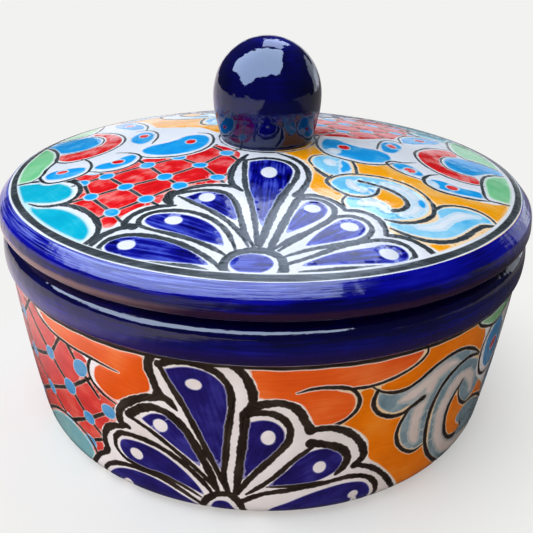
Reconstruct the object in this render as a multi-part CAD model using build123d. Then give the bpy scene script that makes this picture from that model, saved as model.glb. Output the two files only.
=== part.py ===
"""A round lidded warmer for tortillas, thrown in glazed earthenware.

The base is a flat-bottomed bowl on a low foot ring, with a thick coil for a rim. The lid is a
shallow dome with a rolled edge coil. A ring under it drops inside the rim, and an egg-shaped
hollow knob stands on top. Lengths are in millimetres. Everything is turned about the Z axis,
and z = 0 is the surface that the foot ring stands on.
"""

from build123d import *
from math import sqrt
import os

# ---------------------------------------------------------------- driving dimensions, base
foot_height = 1.5            # unglazed ring under the bowl
foot_width = 10.0            # of the ring's section
foot_inset = 0.5             # foot ring inside the bowl's flat underside

wall_base_radius = 109.0     # outside, where the wall's cone would meet the underside
wall_top_radius = 117.4      # outside, under the rim coil
wall_height = 77.5           # bowl's underside to the rim coil
wall_bow = 0.8               # how far the wall's outside swells past its cone
wall_thickness = 7.0
floor_thickness = 8.0
heel_width = 6.5             # rounding from wall to underside, outside
heel_height = 10.0
inner_heel_radius = 12.0     # rounding from wall to floor, inside

rim_height = 17.0            # of the rim coil, up to the face that the lid rests on
rim_swell = 2.2              # how far the coil stands proud of the wall below it
rim_bulge = 0.5              # swelling of its outer face
rim_lower_round = 3.0        # height of the rounding under its outer face
rim_corner = 3.4             # width of the rounding over its outer face
rim_corner_height = 4.1
rim_fall = 2.3               # slope from the seat down to that rounding
rim_width = 12.0             # outer face to mouth
rim_under_rise = 2.0         # the coil's underside slopes up from the wall to the mouth
seat_setback = 8.4           # outer edge of the flat seat, in from the coil's outer face
rim_inner_round = 1.6        # rounding from the seat to the mouth

# ---------------------------------------------------------------- driving dimensions, lid
edge_overhang = 0.2          # the lid's widest line, out past the rim coil's
edge_height = 14.0           # seat to where the painted dome begins
edge_widest = 4.0            # height of the coil's widest line above the seat
edge_under_round = 5.8       # width of the rounding from the widest line to the resting face
edge_shoulder = 5.3          # widest line inwards to where the dome begins
dome_rise = 16.3             # from where the dome begins to the middle of the lid
plate_thickness = 6.5

locating_clearance = 2.5     # between the locating ring and the mouth, all round
locating_thickness = 5.5
locating_depth = 11.0        # below the seat

knob_base_radius = 20.5
knob_radius = 23.7           # at its widest line
knob_widest = 19.3           # height of the widest line above the middle of the dome
knob_crown = 25.5            # widest line to the top of the knob
knob_fullness = 0.57         # of its crown: 0.55 is a half ellipse, and 1 is square
knob_wall = 5.0
vent_radius = 2.5            # hole through the plate that lets the hollow knob breathe in the kiln

# ---------------------------------------------------------------- places that follow
wall_top_z = foot_height + wall_height
seat_z = wall_top_z + rim_height
dome_edge_z = seat_z + edge_height
dome_top_z = dome_edge_z + dome_rise
knob_widest_z = dome_top_z + knob_widest

rim_radius = wall_top_radius + rim_swell
mouth_radius = rim_radius - rim_width
seat_radius = rim_radius - seat_setback
edge_radius = rim_radius + edge_overhang
panel_radius = edge_radius - edge_shoulder
locating_radius = mouth_radius - locating_clearance

dome_radius = (panel_radius**2 + dome_rise**2) / (2 * dome_rise)
dome_centre_z = dome_top_z - dome_radius


def dome_z(radius, depth=0.0):
    """Height of the dome at this radius, on the surface this far below its top."""
    return dome_centre_z + sqrt((dome_radius - depth) ** 2 - radius**2)


def dome_line(radius, depth=0.0):
    """The dome's outline from the middle out to this radius, this far below its top."""
    start = (0, dome_z(0, depth))
    middle = (radius / 2, dome_z(radius / 2, depth))
    end = (radius, dome_z(radius, depth))
    return ThreePointArc(start, middle, end)


def turned(*outline):
    """A solid turned about Z from the lines of its closed outline, in radius and height."""
    edges = [edge for line in outline for edge in line.edges()]
    return revolve(Plane.XZ * make_face(edges), Axis.Z)


def wall_line(depth, low_z):
    """The wall's outline from this height up to the rim coil, this far inside its outer face."""
    slope = (wall_top_radius - wall_base_radius) / wall_height
    middle_z = (low_z + wall_top_z) / 2
    low = (wall_base_radius + slope * (low_z - foot_height) - depth, low_z)
    middle = (wall_base_radius + slope * (middle_z - foot_height) + wall_bow - depth, middle_z)
    return ThreePointArc(low, middle, (wall_top_radius - depth, wall_top_z))


def tub(wall, flat_radius, flat_z):
    """The solid within a wall's outline, rounded at its foot to a flat face at this height."""
    rounding = Spline((flat_radius, flat_z), wall @ 0, tangents=[(1, 0), wall % 0])
    flat = Line((0, flat_z), (flat_radius, flat_z))
    axis = Line((0, flat_z), (0, wall_top_z))
    return turned(axis, flat, rounding, wall, Line(wall @ 1, (0, wall_top_z)))


def bowl_shell():
    """Floor and wall in one: a tight heel outside, a wider rounding inside."""
    outside = wall_line(0, foot_height + heel_height)
    floor_z = foot_height + floor_thickness
    inside = wall_line(wall_thickness, floor_z + inner_heel_radius)
    inner_flat_radius = (inside @ 0).X - inner_heel_radius
    return tub(outside, wall_base_radius - heel_width, foot_height) - tub(inside, inner_flat_radius, floor_z)


def foot_ring():
    """The bare ring that the bowl stands on."""
    outer = wall_base_radius - heel_width - foot_inset
    inner = outer - foot_width
    return turned(Polyline((inner, 0), (outer, 0), (outer, foot_height), (inner, foot_height), close=True))


def bowl_rim():
    """The coil round the mouth, proud of the wall, with a flat seat for the lid."""
    face_low_z = wall_top_z + rim_lower_round
    crest = (rim_radius - rim_corner, seat_z - rim_fall)
    face_high_z = seat_z - rim_fall - rim_corner_height
    face_radius = rim_radius - rim_bulge
    face = ThreePointArc(
        (face_radius, face_low_z), (rim_radius, (face_low_z + face_high_z) / 2), (face_radius, face_high_z)
    )
    lower = Spline((wall_top_radius, wall_top_z), face @ 0, tangents=[(1, 0.4), face % 0])
    corner = Spline(face @ 1, crest, tangents=[face % 1, (-1, 0.46)])
    slope = Line(crest, (seat_radius, seat_z))
    seat_inner_radius = mouth_radius + rim_inner_round
    seat = Line((seat_radius, seat_z), (seat_inner_radius, seat_z))
    lip_z = seat_z - rim_inner_round
    lip = Spline((seat_inner_radius, seat_z), (mouth_radius, lip_z), tangents=[(-1, 0), (0, -1)])
    mouth = Line((mouth_radius, lip_z), (mouth_radius, wall_top_z + rim_under_rise))
    wall_inner_radius = wall_top_radius - wall_thickness
    under = Line((mouth_radius, wall_top_z + rim_under_rise), (wall_inner_radius, wall_top_z))
    bed = Line((wall_inner_radius, wall_top_z), (wall_top_radius, wall_top_z))
    return turned(lower, face, corner, slope, seat, lip, mouth, under, bed)


def lid_plate():
    """The domed plate, with the knob's vent through its middle."""
    top = dome_line(panel_radius)
    edge = Line((panel_radius, dome_edge_z), (panel_radius, dome_z(panel_radius, plate_thickness)))
    underside = dome_line(panel_radius, plate_thickness)
    axis = Line((0, dome_z(0, plate_thickness)), (0, dome_top_z))
    vent = Pos(0, 0, dome_top_z) * Cylinder(vent_radius, 4 * plate_thickness)
    return turned(top, edge, underside, axis) - vent


def lid_edge(plate):
    """The coil rolled round the plate: its underside is the face that rests on the seat."""
    widest = (edge_radius, seat_z + edge_widest)
    rest_radius = edge_radius - edge_under_round
    dome_fall = panel_radius / sqrt(dome_radius**2 - panel_radius**2)
    shoulder = Spline((panel_radius, dome_edge_z), widest, tangents=[(1, -dome_fall), (0, -1)])
    under = Spline(widest, (rest_radius, seat_z), tangents=[(0, -1), (-1, 0)])
    rest = Line((rest_radius, seat_z), (locating_radius, seat_z))
    inside = Line((locating_radius, seat_z), (locating_radius, dome_edge_z))
    top = Line((locating_radius, dome_edge_z), (panel_radius, dome_edge_z))
    return turned(shoulder, under, rest, inside, top) - plate


def lid_locating_ring():
    """The ring under the plate that drops inside the bowl's mouth and keeps the lid central."""
    outer = locating_radius
    inner = outer - locating_thickness
    foot_z = seat_z - locating_depth
    middle = (inner + outer) / 2
    inner_top = (inner, dome_z(inner, plate_thickness))
    middle_top = (middle, dome_z(middle, plate_thickness))
    outer_top = (outer, dome_z(outer, plate_thickness))
    top = ThreePointArc(inner_top, middle_top, outer_top)
    return turned(top, Polyline(outer_top, (outer, foot_z), (inner, foot_z), inner_top))


def egg_line(radius, crown, foot_radius):
    """An egg's outline, as its crown and its drawn-in flank, which ends on the dome."""
    widest = (radius, knob_widest_z)
    corner = (radius, knob_widest_z + knob_fullness * crown)
    shoulder = (knob_fullness * radius, knob_widest_z + crown)
    top = Bezier(widest, corner, shoulder, (0, knob_widest_z + crown))
    return top, TangentArc(widest, (foot_radius, dome_z(foot_radius)), tangent=(0, -1))


def lid_knob():
    """The hollow knob, its foot shaped to the dome that it stands on."""
    inner_foot = knob_base_radius - knob_wall
    middle_foot = knob_base_radius - knob_wall / 2
    crown, flank = egg_line(knob_radius, knob_crown, knob_base_radius)
    inner_crown, inner_flank = egg_line(knob_radius - knob_wall, knob_crown - knob_wall, inner_foot)
    foot = ThreePointArc(flank @ 1, (middle_foot, dome_z(middle_foot)), inner_flank @ 1)
    top_z = knob_widest_z + knob_crown
    axis = Line((0, top_z - knob_wall), (0, top_z))
    return turned(crown, flank, foot, inner_flank, inner_crown, axis)


def build():
    """Every piece by the name of its node."""
    plate = lid_plate()
    return {
        "foot_ring": foot_ring(),
        "bowl_shell": bowl_shell(),
        "bowl_rim": bowl_rim(),
        "lid_plate": plate,
        "lid_edge": lid_edge(plate),
        "lid_locating_ring": lid_locating_ring(),
        "lid_knob": lid_knob(),
    }


def main():
    os.makedirs("parts", exist_ok=True)
    for name, shape in build().items():
        export_step(shape, f"parts/{name}.step")


main()
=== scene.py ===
# %% [markdown]
# # A painted tortilla warmer
# A warmer of this kind is thrown in red clay, dipped in a white tin glaze and painted by hand: black
# outlines first, then thick puddles of coloured glaze inside them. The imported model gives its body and
# its sizes. This lesson gives it its paint, its gloss and its light.
# Every length in the lesson is in millimetres, and one factor turns it to Blender's metres.

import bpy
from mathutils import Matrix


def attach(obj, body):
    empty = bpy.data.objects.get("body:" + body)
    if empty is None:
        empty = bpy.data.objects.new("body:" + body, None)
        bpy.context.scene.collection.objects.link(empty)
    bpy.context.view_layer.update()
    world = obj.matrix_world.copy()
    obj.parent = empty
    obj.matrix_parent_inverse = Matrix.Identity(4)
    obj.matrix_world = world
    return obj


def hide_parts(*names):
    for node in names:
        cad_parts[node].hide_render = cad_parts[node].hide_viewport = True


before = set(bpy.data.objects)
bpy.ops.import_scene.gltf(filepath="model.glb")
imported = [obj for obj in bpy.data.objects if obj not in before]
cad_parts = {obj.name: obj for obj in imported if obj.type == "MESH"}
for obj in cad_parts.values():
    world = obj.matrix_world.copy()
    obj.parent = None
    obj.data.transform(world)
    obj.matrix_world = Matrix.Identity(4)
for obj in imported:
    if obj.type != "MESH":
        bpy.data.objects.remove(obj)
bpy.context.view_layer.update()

from math import atan2, ceil, cos, pi, radians, sin, sqrt

import bpy
import numpy as np
from mathutils import Euler, Matrix, Vector
from mathutils.geometry import delaunay_2d_cdt
from mathutils.kdtree import KDTree

MM = 0.001

# %% [markdown]
# ## The camera
# It stands a hand's breadth above the rim and looks down at about 26 degrees, so the near part of the
# lid opens out and the far part closes up. A lens of 51 mm on a 36 mm sensor keeps the strong
# perspective of a picture taken from a third of a metre away. The camera leans by a degree.

# %% Camera
sensor_mm, lens_mm = 36, 50.66
shift = (0.0047, 0.0021)     # of the picture, in shares of its width
aim = Vector((0, 0, 60 * MM))
distance = 371.3 * MM
look_down = 25.85            # degrees
lean = 0.021                 # radians, anticlockwise

camera_data = bpy.data.cameras.new("studio_camera")
camera_data.sensor_width = sensor_mm
camera_data.lens = lens_mm
camera_data.shift_x, camera_data.shift_y = shift
camera = bpy.data.objects.new("studio_camera", camera_data)
bpy.context.scene.collection.objects.link(camera)
back = Vector((0, -cos(radians(look_down)), sin(radians(look_down))))
turn = Euler((radians(90 - look_down), 0, 0)).to_matrix() @ Matrix.Rotation(lean, 3, "Z")
camera.matrix_world = Matrix.Translation(aim + distance * back) @ turn.to_4x4()
bpy.context.scene.camera = camera
print("camera at", [round(c, 3) for c in camera.matrix_world.translation])

# %% [markdown]
# ## Nodes and colours
# Each finish below is a small tree of nodes. One function adds a node, sets what it is told and links
# its inputs. Another turns the usual hex colours to the linear values that Blender works in.

# %% Node and colour helpers
MIX_A, MIX_B, MIX_OUT = 6, 7, 2      # the colour sockets of a Mix node


def add(tree, kind, inputs=None, **settings):
    """Adds a node. Settings are its properties, and inputs are values, or the outputs to link."""
    new = tree.nodes.new("ShaderNode" + kind)
    for key, value in settings.items():
        setattr(new, key, value)
    for socket, value in (inputs or {}).items():
        if isinstance(value, bpy.types.NodeSocket):
            tree.links.new(value, new.inputs[socket])
        else:
            new.inputs[socket].default_value = value
    return new


def colour(code):
    """Linear colour of an sRGB hex code."""
    parts = [int(code[i : i + 2], 16) / 255 for i in (1, 3, 5)]
    return [c / 12.92 if c <= 0.04045 else ((c + 0.055) / 1.055) ** 2.4 for c in parts] + [1.0]


def empty_material(name):
    """A new material and its node tree, still without nodes."""
    material = bpy.data.materials.new(name)
    material.use_nodes = True
    material.node_tree.nodes.clear()
    return material, material.node_tree


def finished(tree, surface):
    """Links the shader to the material's output."""
    add(tree, "OutputMaterial", {"Surface": surface.outputs[0]})


print("the middle grey #808080 is", round(colour("#808080")[0], 3), "in linear light")

# %% [markdown]
# ## The studio
# The floor is plain pale paper. Under the pot it is lit as everything is, so it holds the pot's
# shadow, and further out it fades to an even backdrop. Gloss is a mirror, so the glaze shows the floor
# too. There it is as dim as a room is beside its windows, because a bright floor would lay a milky
# veil on the dark blues. Only on the left, and a little far behind on the right, does it stay pale.
# The light is soft, from panels the size of windows. Each panel either lights the pot or shows in its
# gloss, so the two are set apart: the light keeps the colours as they were painted, and the glare
# lies where it says most about the shape. Glare from the window behind lies on the front of the lid,
# the sky's shows in the knob and in streaks along the coils, a low haze pales the far side, and a
# door on the right gives the knob its edge.

# %% Floor
PAPER_SHADES = ("#E4E4E2", "#E8E8E6")
BACKDROP = "#F2F2F0"
even_from, even_to = 20 * MM, 200 * MM       # from the pot's axis, where its shadow fades to the backdrop
mirror_share = 0.96                          # how much of the mirrored floor is the dim one


def seen_directly(tree):
    """1 where the camera sees something, also through glass, and 0 where it lights or is mirrored."""
    ray = add(tree, "LightPath")
    rays = {0: ray.outputs["Is Camera Ray"], 1: ray.outputs["Is Transmission Ray"]}
    return add(tree, "Math", rays, operation="MAXIMUM").outputs[0]


def mirrored_floor(tree, place):
    """The floor as the glaze mirrors it: dim, but pale from the pot's left and a little far behind it."""
    side = add(tree, "SeparateXYZ", {"Vector": place})
    beside, past = -120 * MM, -200 * MM
    left = {"Value": side.outputs["X"], "From Min": beside, "From Max": past, "To Min": 0.05, "To Max": 1.0}
    corner = add(tree, "Math", {0: side.outputs["X"], 1: side.outputs["Y"]}, operation="ADD")
    beyond, away = 350 * MM, 550 * MM
    far = {"Value": corner.outputs[0], "From Min": beyond, "From Max": away, "To Max": 0.25}
    ends = {n: add(tree, "MapRange", inputs).outputs[0] for n, inputs in enumerate((left, far))}
    strength = add(tree, "Math", ends, operation="ADD")
    return add(tree, "Emission", {"Color": colour("#F0E6E8"), "Strength": strength.outputs[0]})


def floor_paper():
    """Pale paper with a trace of unevenness, which looks soft and flat, and an even tone further out."""
    material, tree = empty_material("pale_paper")
    place = add(tree, "TexCoord").outputs["Object"]
    patches = add(tree, "TexNoise", {"Vector": place, "Scale": 3.0})
    light, dark = (colour(code) for code in PAPER_SHADES)
    shades = {"Factor": patches.outputs["Fac"], MIX_A: light, MIX_B: dark}
    shade = add(tree, "Mix", shades, data_type="RGBA")
    paper = add(tree, "BsdfDiffuse", {"Color": shade.outputs[MIX_OUT]})
    even = add(tree, "Emission", {"Color": colour(BACKDROP), "Strength": 1.0})
    reach = add(tree, "VectorMath", {0: place}, operation="LENGTH")
    fade = {"Value": reach.outputs["Value"], "From Min": even_from, "From Max": even_to}
    out = add(tree, "MapRange", fade, interpolation_type="SMOOTHSTEP")
    share = add(tree, "Math", {0: seen_directly(tree), 1: out.outputs[0]}, operation="MULTIPLY")
    faded = add(tree, "MixShader", {0: share.outputs[0], 1: paper.outputs[0], 2: even.outputs[0]})
    glossy_ray = add(tree, "LightPath").outputs["Is Glossy Ray"]
    glossy = add(tree, "Math", {0: glossy_ray, 1: mirror_share}, operation="MULTIPLY")
    mirrored = mirrored_floor(tree, place)
    parts = {0: glossy.outputs[0], 1: faded.outputs[0], 2: mirrored.outputs[0]}
    finished(tree, add(tree, "MixShader", parts))
    return material


floor_half = 6               # metres
corners = [(x * floor_half, y * floor_half, 0) for x, y in ((-1, -1), (1, -1), (1, 1), (-1, 1))]
floor_mesh = bpy.data.meshes.new("floor")
floor_mesh.from_pydata(corners, [], [(0, 1, 2, 3)])
floor_mesh.materials.append(floor_paper())
floor = bpy.data.objects.new("floor", floor_mesh)
bpy.context.scene.collection.objects.link(floor)
print("floor", 2 * floor_half, "m wide")

# %% Light
LAMP_AWAY = 2.2              # metres from the pot
LAMP_AIM = 90 * MM           # height of the point that the lamps face


def panel(name, azimuth, height, size, radiance, tint, lights=True, mirrored=True, roll=0):
    """A soft lamp that faces the pot. Azimuth 0 is behind it and -90 is on its left."""
    lamp = bpy.data.lights.new(name, "AREA")
    lamp.shape = "RECTANGLE"
    lamp.size, lamp.size_y = size
    lamp.energy = radiance * pi * size[0] * size[1]
    lamp.color = colour(tint)[:3]
    holder = bpy.data.objects.new(name, lamp)
    bpy.context.scene.collection.objects.link(holder)
    a, h = radians(azimuth), radians(height)
    towards = Vector((sin(a) * cos(h), cos(a) * cos(h), sin(h)))
    holder.location = Vector((0, 0, LAMP_AIM)) + towards * LAMP_AWAY
    facing = towards.to_track_quat("Z", "Y").to_matrix() @ Matrix.Rotation(radians(roll), 3, "Z")
    holder.rotation_euler = facing.to_euler()
    holder.visible_diffuse = lights
    holder.visible_glossy = mirrored


panel("window_behind", 10, 48, (1.47, 0.92), 2.5, "#EAF2FF", mirrored=False)
panel("window_behind_glare", 9, 51, (0.9, 1.15), 4.9, "#D4E2FF", lights=False)
panel("haze_behind", 16, 5, (3.0, 0.5), 0.9, "#E8EEF6", lights=False)
panel("window_left", -104, 44, (1.8, 1.7), 4.4, "#F0F5FF", mirrored=False)
panel("skylight", -172, 62, (1.1, 1.0), 3.2, "#F4F8FF", mirrored=False)
panel("sky_overhead", -60, 82, (1.9, 1.3), 1.3, "#EEF4FF", mirrored=False)
panel("sky_glare", -125, 67, (4.0, 2.9), 7.8, "#D2E4FF", lights=False, roll=58)
panel("door_right", 50, 6, (1.0, 1.4), 1.1, "#E4ECF4", lights=False)
panel("warm_fill", -165, 26, (2.2, 1.3), 1.6, "#FFE9DC", mirrored=False)

# %% World
world = bpy.data.worlds.new("studio_air")
bpy.context.scene.world = world
world.use_nodes = True
air = world.node_tree
air.nodes.clear()
dim = add(air, "Background", {"Color": colour("#EDEDEC"), "Strength": 0.05})
pale = add(air, "Background", {"Color": colour(BACKDROP), "Strength": 1.0})
both = add(air, "MixShader", {0: seen_directly(air), 1: dim.outputs[0], 2: pale.outputs[0]})
add(air, "OutputWorld", {"Surface": both.outputs[0]})

# %% [markdown]
# ## The sizes of the pottery
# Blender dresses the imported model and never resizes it, so every surface here follows the outline of
# the solid that it stands for. The glaze's own thickness, a tenth of a millimetre, is all that is new.

# %% Sizes, in millimetres
foot_height = 1.5
underside_radius = 102.5
heel_top = (110.08, 11.5)
wall_top = (117.4, 79.0)
wall_bow = 0.8
wall_thickness = 7.0
bowl_floor = 9.5
bowl_floor_radius = 92.2
inner_heel = (104.1, 21.5)
mouth_radius = 107.6
seat_height = 96.0
seat_radius = 111.2
seat_inner_radius = 109.2
rim_radius = 119.6
edge_radius = 119.8
edge_widest = 100.0
edge_rest_radius = 114.0
panel_radius = 114.5
panel_height = 110.0
dome_rise = 16.3
plate_thickness = 6.5
locating_radius = 105.1
locating_inner = 99.6
locating_foot = 85.0
knob_foot = 20.5
knob_radius = 23.7
knob_widest = 145.6
knob_top = 171.1
knob_wall = 5.0
vent_radius = 2.5

dome_radius = (panel_radius**2 + dome_rise**2) / (2 * dome_rise)
dome_centre = panel_height + dome_rise - dome_radius


def dome_height(radius, depth=0.0):
    """Height of the lid's dome at a radius, this far under its top surface."""
    return dome_centre + sqrt((dome_radius - depth) ** 2 - radius**2)


def under_plate(start, end, count):
    """Places along the underside of the lid's plate, between two radii."""
    return [(r, dome_height(r, plate_thickness)) for r in np.linspace(start, end, count)]


print("dome top", round(dome_height(0), 2), "mm, dome radius", round(dome_radius, 1), "mm")

# %% [markdown]
# ## Turning a piece
# Pottery is turned, so its pieces are too: an outline of radius and height goes round the axis. A
# modifier could turn it, but writing the rings ourselves also gives each point its place along and
# round the outline, and the brush marks of the glaze follow that.
# No thrown pot is quite round. The hand moves in and out by a few tenths of a millimetre, always
# inwards from the true size.

# %% Outlines
def bend(start, out, into, end, count):
    """Points along a curve that leaves start towards out and comes to end from into."""
    t = np.linspace(0, 1, count)[:, None]
    start, out, into, end = (np.array(p, float) for p in (start, out, into, end))
    return (1 - t) ** 3 * start + 3 * t * (1 - t) ** 2 * out + 3 * t**2 * (1 - t) * into + t**3 * end


def bowed(start, end, count):
    """Points along the wall from start to end, which swells outwards in between."""
    t = np.linspace(0, 1, count)
    radius = start[0] + (end[0] - start[0]) * t + wall_bow * 4 * t * (1 - t)
    return np.column_stack([radius, start[1] + (end[1] - start[1]) * t])


def outline(*parts):
    """Joins curves and points end to end, without doubling the points where they meet."""
    points = []
    for part in parts:
        for point in np.atleast_2d(np.array(part, float)):
            if not points or np.hypot(*(point - points[-1])) > 0.01:
                points.append(point)
    return np.array(points)


# %% Turning
SHARP_ANGLE = 40             # degrees between two faces that meet in a sharp edge


def hand(angle, depth, phase):
    """How far the potter's hand is inside the true circle at these angles."""
    wave = np.sin(angle + phase) + 0.6 * np.sin(2 * angle + 2.1 * phase) + 0.4 * np.sin(5 * angle - phase)
    return depth * (wave / 4 - 0.5)


def new_piece(name, points, faces, materials):
    """A mesh object from points in millimetres."""
    mesh = bpy.data.meshes.new(name)
    mesh.from_pydata([tuple(p) for p in np.asarray(points) * MM], [], faces)
    for material in materials:
        mesh.materials.append(material)
    mesh.update()
    piece = bpy.data.objects.new(name, mesh)
    bpy.context.scene.collection.objects.link(piece)
    return piece


def turned(name, loop, material, unevenness=0.3, phase=0.0, segments=360):
    """A closed ring or a solid on the axis, turned from a closed outline."""
    loop = outline(loop)
    angle = np.arange(segments) * 2 * pi / segments - pi
    run = np.concatenate([[0], np.cumsum(np.hypot(*np.diff(loop, axis=0).T))])
    on_axis = loop[0][0] < 0.01 and loop[-1][0] < 0.01
    points, rings = [], []
    for radius, height in loop:
        if radius < 0.01:
            rings.append([len(points)] * segments)
            points.append((0, 0, height))
            continue
        r = radius + hand(angle, unevenness, phase) * min(1, radius / 20)
        rings.append(list(range(len(points), len(points) + segments)))
        points += list(zip(r * np.sin(angle), -r * np.cos(angle), np.full(segments, height)))
    faces, brush = [], []
    middle = float(np.mean(loop[:, 0]))
    count = len(rings)
    for k in range(count - 1 if on_axis else count):
        low, high = rings[k], rings[(k + 1) % count]
        v0, v1 = run[k], run[k + 1] if k + 1 < count else run[k] + 1
        for i in range(segments):
            j = (i + 1) % segments
            u0, u1 = middle * angle[i], middle * (angle[i] + 2 * pi / segments)
            corners = [(low[i], u0, v0), (low[j], u1, v0), (high[j], u1, v1), (high[i], u0, v1)]
            kept = [c for n, c in enumerate(corners) if c[0] != corners[n - 1][0]]
            faces.append([c[0] for c in kept])
            brush += [(c[1], c[2]) for c in kept]
    piece = new_piece(name, points, faces, [material])
    mesh = piece.data
    mesh.uv_layers.new(name="brush").data.foreach_set("uv", np.array(brush).ravel())
    mesh.polygons.foreach_set("use_smooth", [True] * len(mesh.polygons))
    mesh.set_sharp_from_angle(angle=radians(SHARP_ANGLE))
    print(name, len(mesh.vertices), "points,", len(mesh.polygons), "faces")
    return piece

# %% [markdown]
# ## Glazes
# Every colour on the pot is a tin glaze with a metal in it: cobalt for blue, iron and antimony for
# yellow and orange, copper for green and turquoise. Molten glaze is glass, so the IOR is 1.5 and the
# surface is smooth and wet. A brush lays it unevenly: it is watery where the brush ran dry and deep
# where it pooled, and it pulls back from its own edge, so the white ground shows as a thin line
# beside each outline.
# One function builds them all. A broad noise gives the pools, and a noise stretched along the brush
# gives the streaks. Together they are how much glaze lies there, which picks the colour.

# %% How much glaze lies there
STREAK_LENGTH = 16           # a streak is this many times as long as it is wide
RIPPLE_MM = 9                # width of the slow ripples that firing leaves in the gloss


def pattern(tree, place, patches, detail):
    """Noise with this many patches to each unit of the place, along its three axes."""
    scaled = add(tree, "Mapping", {"Vector": place, "Scale": patches})
    settings = {"Vector": scaled.outputs[0], "Scale": 1.0, "Detail": detail}
    return add(tree, "TexNoise", settings).outputs["Fac"]


def glaze_load(tree, pool_mm, streak_mm, streaky):
    """How much glaze lies at each place, from pools and from brush streaks."""
    place = add(tree, "TexCoord").outputs["Object"]
    brush = add(tree, "UVMap", uv_map="brush").outputs[0]
    pools = pattern(tree, place, (1 / (pool_mm * MM),) * 3, 3.0)
    streaks = pattern(tree, brush, (1 / (STREAK_LENGTH * streak_mm), 1 / streak_mm, 1), 4.0)
    return add(tree, "Mix", {"Factor": streaky, 2: pools, 3: streaks}).outputs[0]


def depth_colour(tree, load, thin, body, deep, spread):
    """The glaze's colour by how much of it lies there, from watery to pooled."""
    ramp = add(tree, "ValToRGB", {"Fac": load})
    stops = ramp.color_ramp.elements
    stops[0].position, stops[0].color = 0.5 - spread, colour(thin)
    stops[1].position, stops[1].color = 0.5 + spread, colour(deep)
    stops.new(0.5).color = colour(body)
    return ramp.outputs["Color"]


# %% One glaze
GLAZE_IOR = 1.5
THIN_LOAD, FULL_LOAD = 0.3, 0.7              # how much glaze lies in its thin places and in its pools
THIN_GLOSS, FULL_GLOSS = 1.5, 0.7            # how rough it is there, in shares of its usual roughness
COOL_MIRROR = (0.78, 0.87, 1, 1)             # tint of what a double coat of cobalt mirrors


def glassy(tree, tint, load, roughness, ripple_mm, mirror=0.5, grain=None, grain_share=0.0, cool=False):
    """The glassy surface: fine ripples from firing, and a gloss that is a little duller where thin."""
    place = add(tree, "TexCoord").outputs["Object"]
    ripples = pattern(tree, place, (1 / (RIPPLE_MM * MM),) * 3, 2.0)
    height = add(tree, "Math", {0: load, 1: 0.25, 2: ripples}, operation="MULTIPLY_ADD")
    if grain:
        brushed = {0: grain, 1: grain_share, 2: height.outputs[0]}
        height = add(tree, "Math", brushed, operation="MULTIPLY_ADD")
    surface = add(tree, "Bump", {"Height": height.outputs[0], "Distance": ripple_mm * MM})
    by_load = {"Value": load, "From Min": THIN_LOAD, "From Max": FULL_LOAD}
    by_load |= {"To Min": roughness * THIN_GLOSS, "To Max": roughness * FULL_GLOSS}
    gloss = add(tree, "MapRange", by_load)
    look = {"Base Color": tint, "Roughness": gloss.outputs[0], "Normal": surface.outputs[0]}
    look |= {"IOR": GLAZE_IOR, "Specular IOR Level": mirror}
    if cool:
        look["Specular Tint"] = COOL_MIRROR
    return add(tree, "BsdfPrincipled", look)


def glaze(name, thin, body, deep, edge=None, edge_mm=0.45, pool_mm=14, streak_mm=0.9, streaky=0.25,
          roughness=0.07, ripple_mm=0.16, spread=0.22, mirror=0.36, cool=False):
    """A glaze from watery to pooled. Near its painted edge it fades to the edge colour."""
    material, tree = empty_material(name)
    load = glaze_load(tree, pool_mm, streak_mm, streaky)
    tint = depth_colour(tree, load, thin, body, deep, spread)
    if edge:
        nearness = add(tree, "Attribute", attribute_name="edge_mm").outputs["Fac"]
        inputs = {"Value": nearness, "From Min": edge_mm * 0.15, "From Max": edge_mm}
        fade = add(tree, "MapRange", inputs, interpolation_type="SMOOTHSTEP")
        inputs = {"Factor": fade.outputs[0], MIX_A: colour(edge), MIX_B: tint}
        tint = add(tree, "Mix", inputs, data_type="RGBA").outputs[MIX_OUT]
    finished(tree, glassy(tree, tint, load, roughness, ripple_mm, mirror, cool=cool))
    return material
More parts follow.
